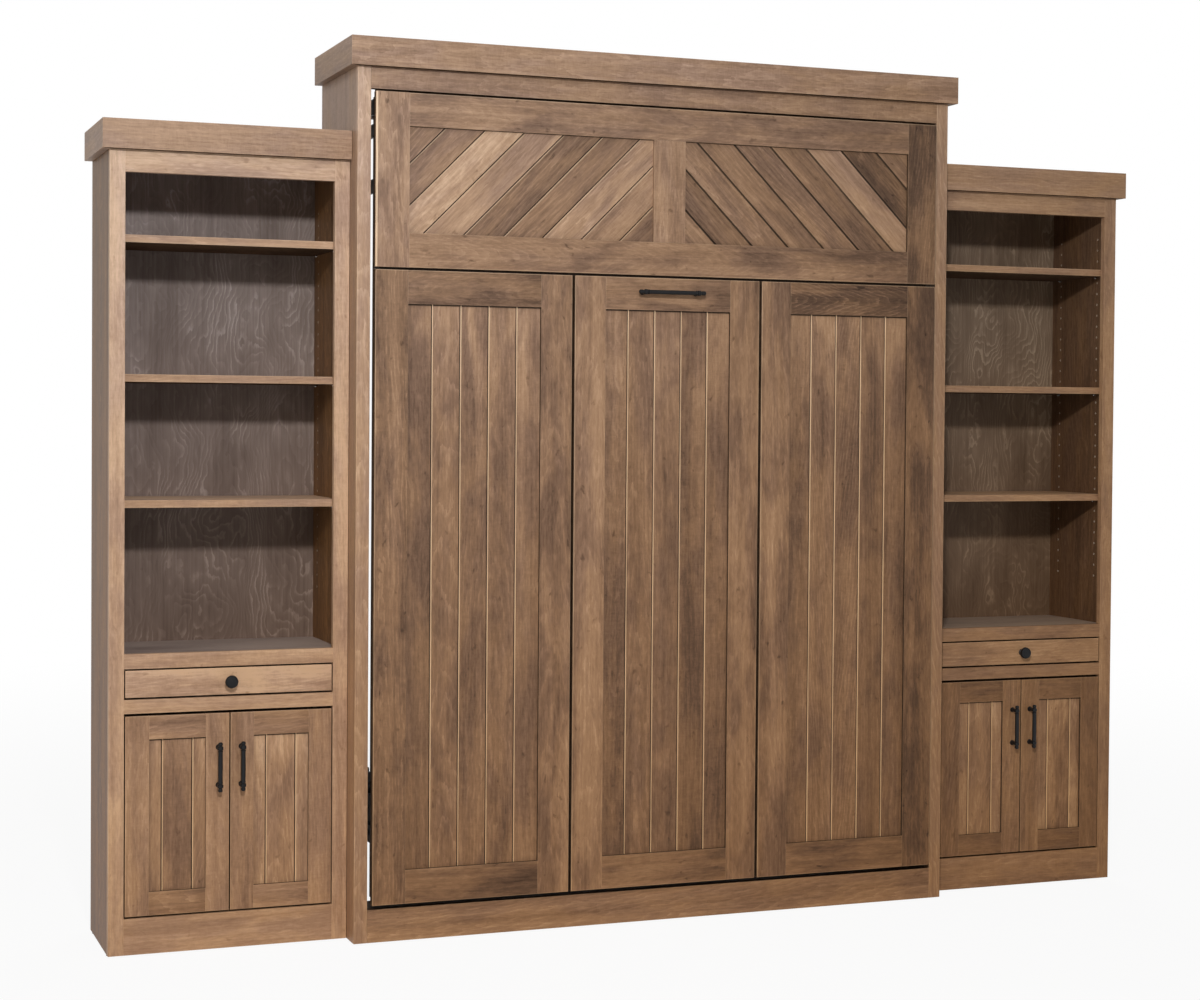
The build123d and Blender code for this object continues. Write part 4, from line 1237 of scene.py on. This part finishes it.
# the fitted camera: picture size, focal length and middle in pixels, then its place and its turn in degrees
photo = {"size": (1200, 1000), "focal": 2211.9, "middle": (623.9, 465.0), "at": (-2.2381, -5.6215, 1.3482),
         "yaw": 21.237, "pitch": -1.250, "roll": 0.441, "sensor": 36.0, "far": 200.0}


def lightPath(tree, *rays):
    # 1 for any of the given kinds of ray
    first, *others = (addNode(tree, "ShaderNodeLightPath", None, f"Is {ray} Ray") for ray in rays)
    for other in others:
        first = first.larger(other)
    return first


def mixShaders(tree, share, first, second, output):
    mixed = addNode(tree, "ShaderNodeMixShader", {0: share, 1: first, 2: second})
    setInputs(tree.nodes[output], {"Surface": mixed})


scene = bpy.context.scene
floorMesh = bpy.data.meshes.new("studioFloor")
sheet = bmesh.new()
bmesh.ops.create_grid(sheet, x_segments=1, y_segments=1, size=stageLook["floorSize"] / 2)
sheet.to_mesh(floorMesh)
sheet.free()
floor = bpy.data.objects.new("studioFloor", floorMesh)
scene.collection.objects.link(floor)
floorMaterial, tree, shader = newMaterial("studioFloor")
setInputs(shader, {"Base Color": stageLook["floor"], "Roughness": stageLook["roughness"],
                   "Specular IOR Level": stageLook["specular"]})
plain = {"Color": stageLook["white"], "Strength": 1.0}
# near the bed the floor keeps a soft shadow, and further out it fades to plain white
away = addNode(tree, "ShaderNodeVectorMath", {0: objectPoint(tree)}, "Value", operation="LENGTH")
share = away.smooth(*stageLook["fade"], stageLook["whiteNear"], 1.0)
mixShaders(tree, lightPath(tree, "Camera", "Glossy") * share, Value(shader.outputs[0]),
           addNode(tree, "ShaderNodeEmission", plain), "Material Output")
floorMesh.materials.append(floorMaterial)

# the background is plain white to the eye and gives a soft warm light
world = bpy.data.worlds.new("studio")
scene.world = world
world.use_nodes = True
tree = world.node_tree
soft = tree.nodes["Background"]
setInputs(soft, {"Color": stageLook["warmth"], "Strength": stageLook["ambient"]})
mixShaders(tree, lightPath(tree, "Camera", "Transmission", "Glossy"), Value(soft.outputs[0]),
           addNode(tree, "ShaderNodeBackground", plain), "World Output")

for name, (place, aim, size, power, tint) in lamps.items():
    light = bpy.data.lights.new(name, "AREA")
    light.shape = "DISK"
    light.size = size
    light.energy = power
    light.color = tint
    lamp = bpy.data.objects.new(name, light)
    lamp.location = place
    lamp.rotation_euler = (Vector(aim) - Vector(place)).to_track_quat("-Z", "Y").to_euler()
    scene.collection.objects.link(lamp)

yaw, pitch, roll = (math.radians(photo[key]) for key in ("yaw", "pitch", "roll"))
forward = Vector((math.sin(yaw) * math.cos(pitch), math.cos(yaw) * math.cos(pitch), math.sin(pitch)))
level = Vector((math.cos(yaw), -math.sin(yaw), 0))
raised = level.cross(forward)
right = math.cos(roll) * level + math.sin(roll) * raised
up = -math.sin(roll) * level + math.cos(roll) * raised
(width, height), (middleX, middleY) = photo["size"], photo["middle"]
lens = bpy.data.cameras.new("photoCamera")
lens.sensor_width = photo["sensor"]
lens.lens = photo["focal"] * photo["sensor"] / width
lens.shift_x = (width / 2 - middleX) / width
lens.shift_y = (middleY - height / 2) / width
lens.clip_end = photo["far"]
camera = bpy.data.objects.new("photoCamera", lens)
turned = Matrix((right, up, -forward)).transposed().to_4x4()
camera.matrix_world = Matrix.Translation(photo["at"]) @ turned
scene.collection.objects.link(camera)
scene.camera = camera
scene.view_settings.view_transform = "Standard"
print("stage, light and camera set")
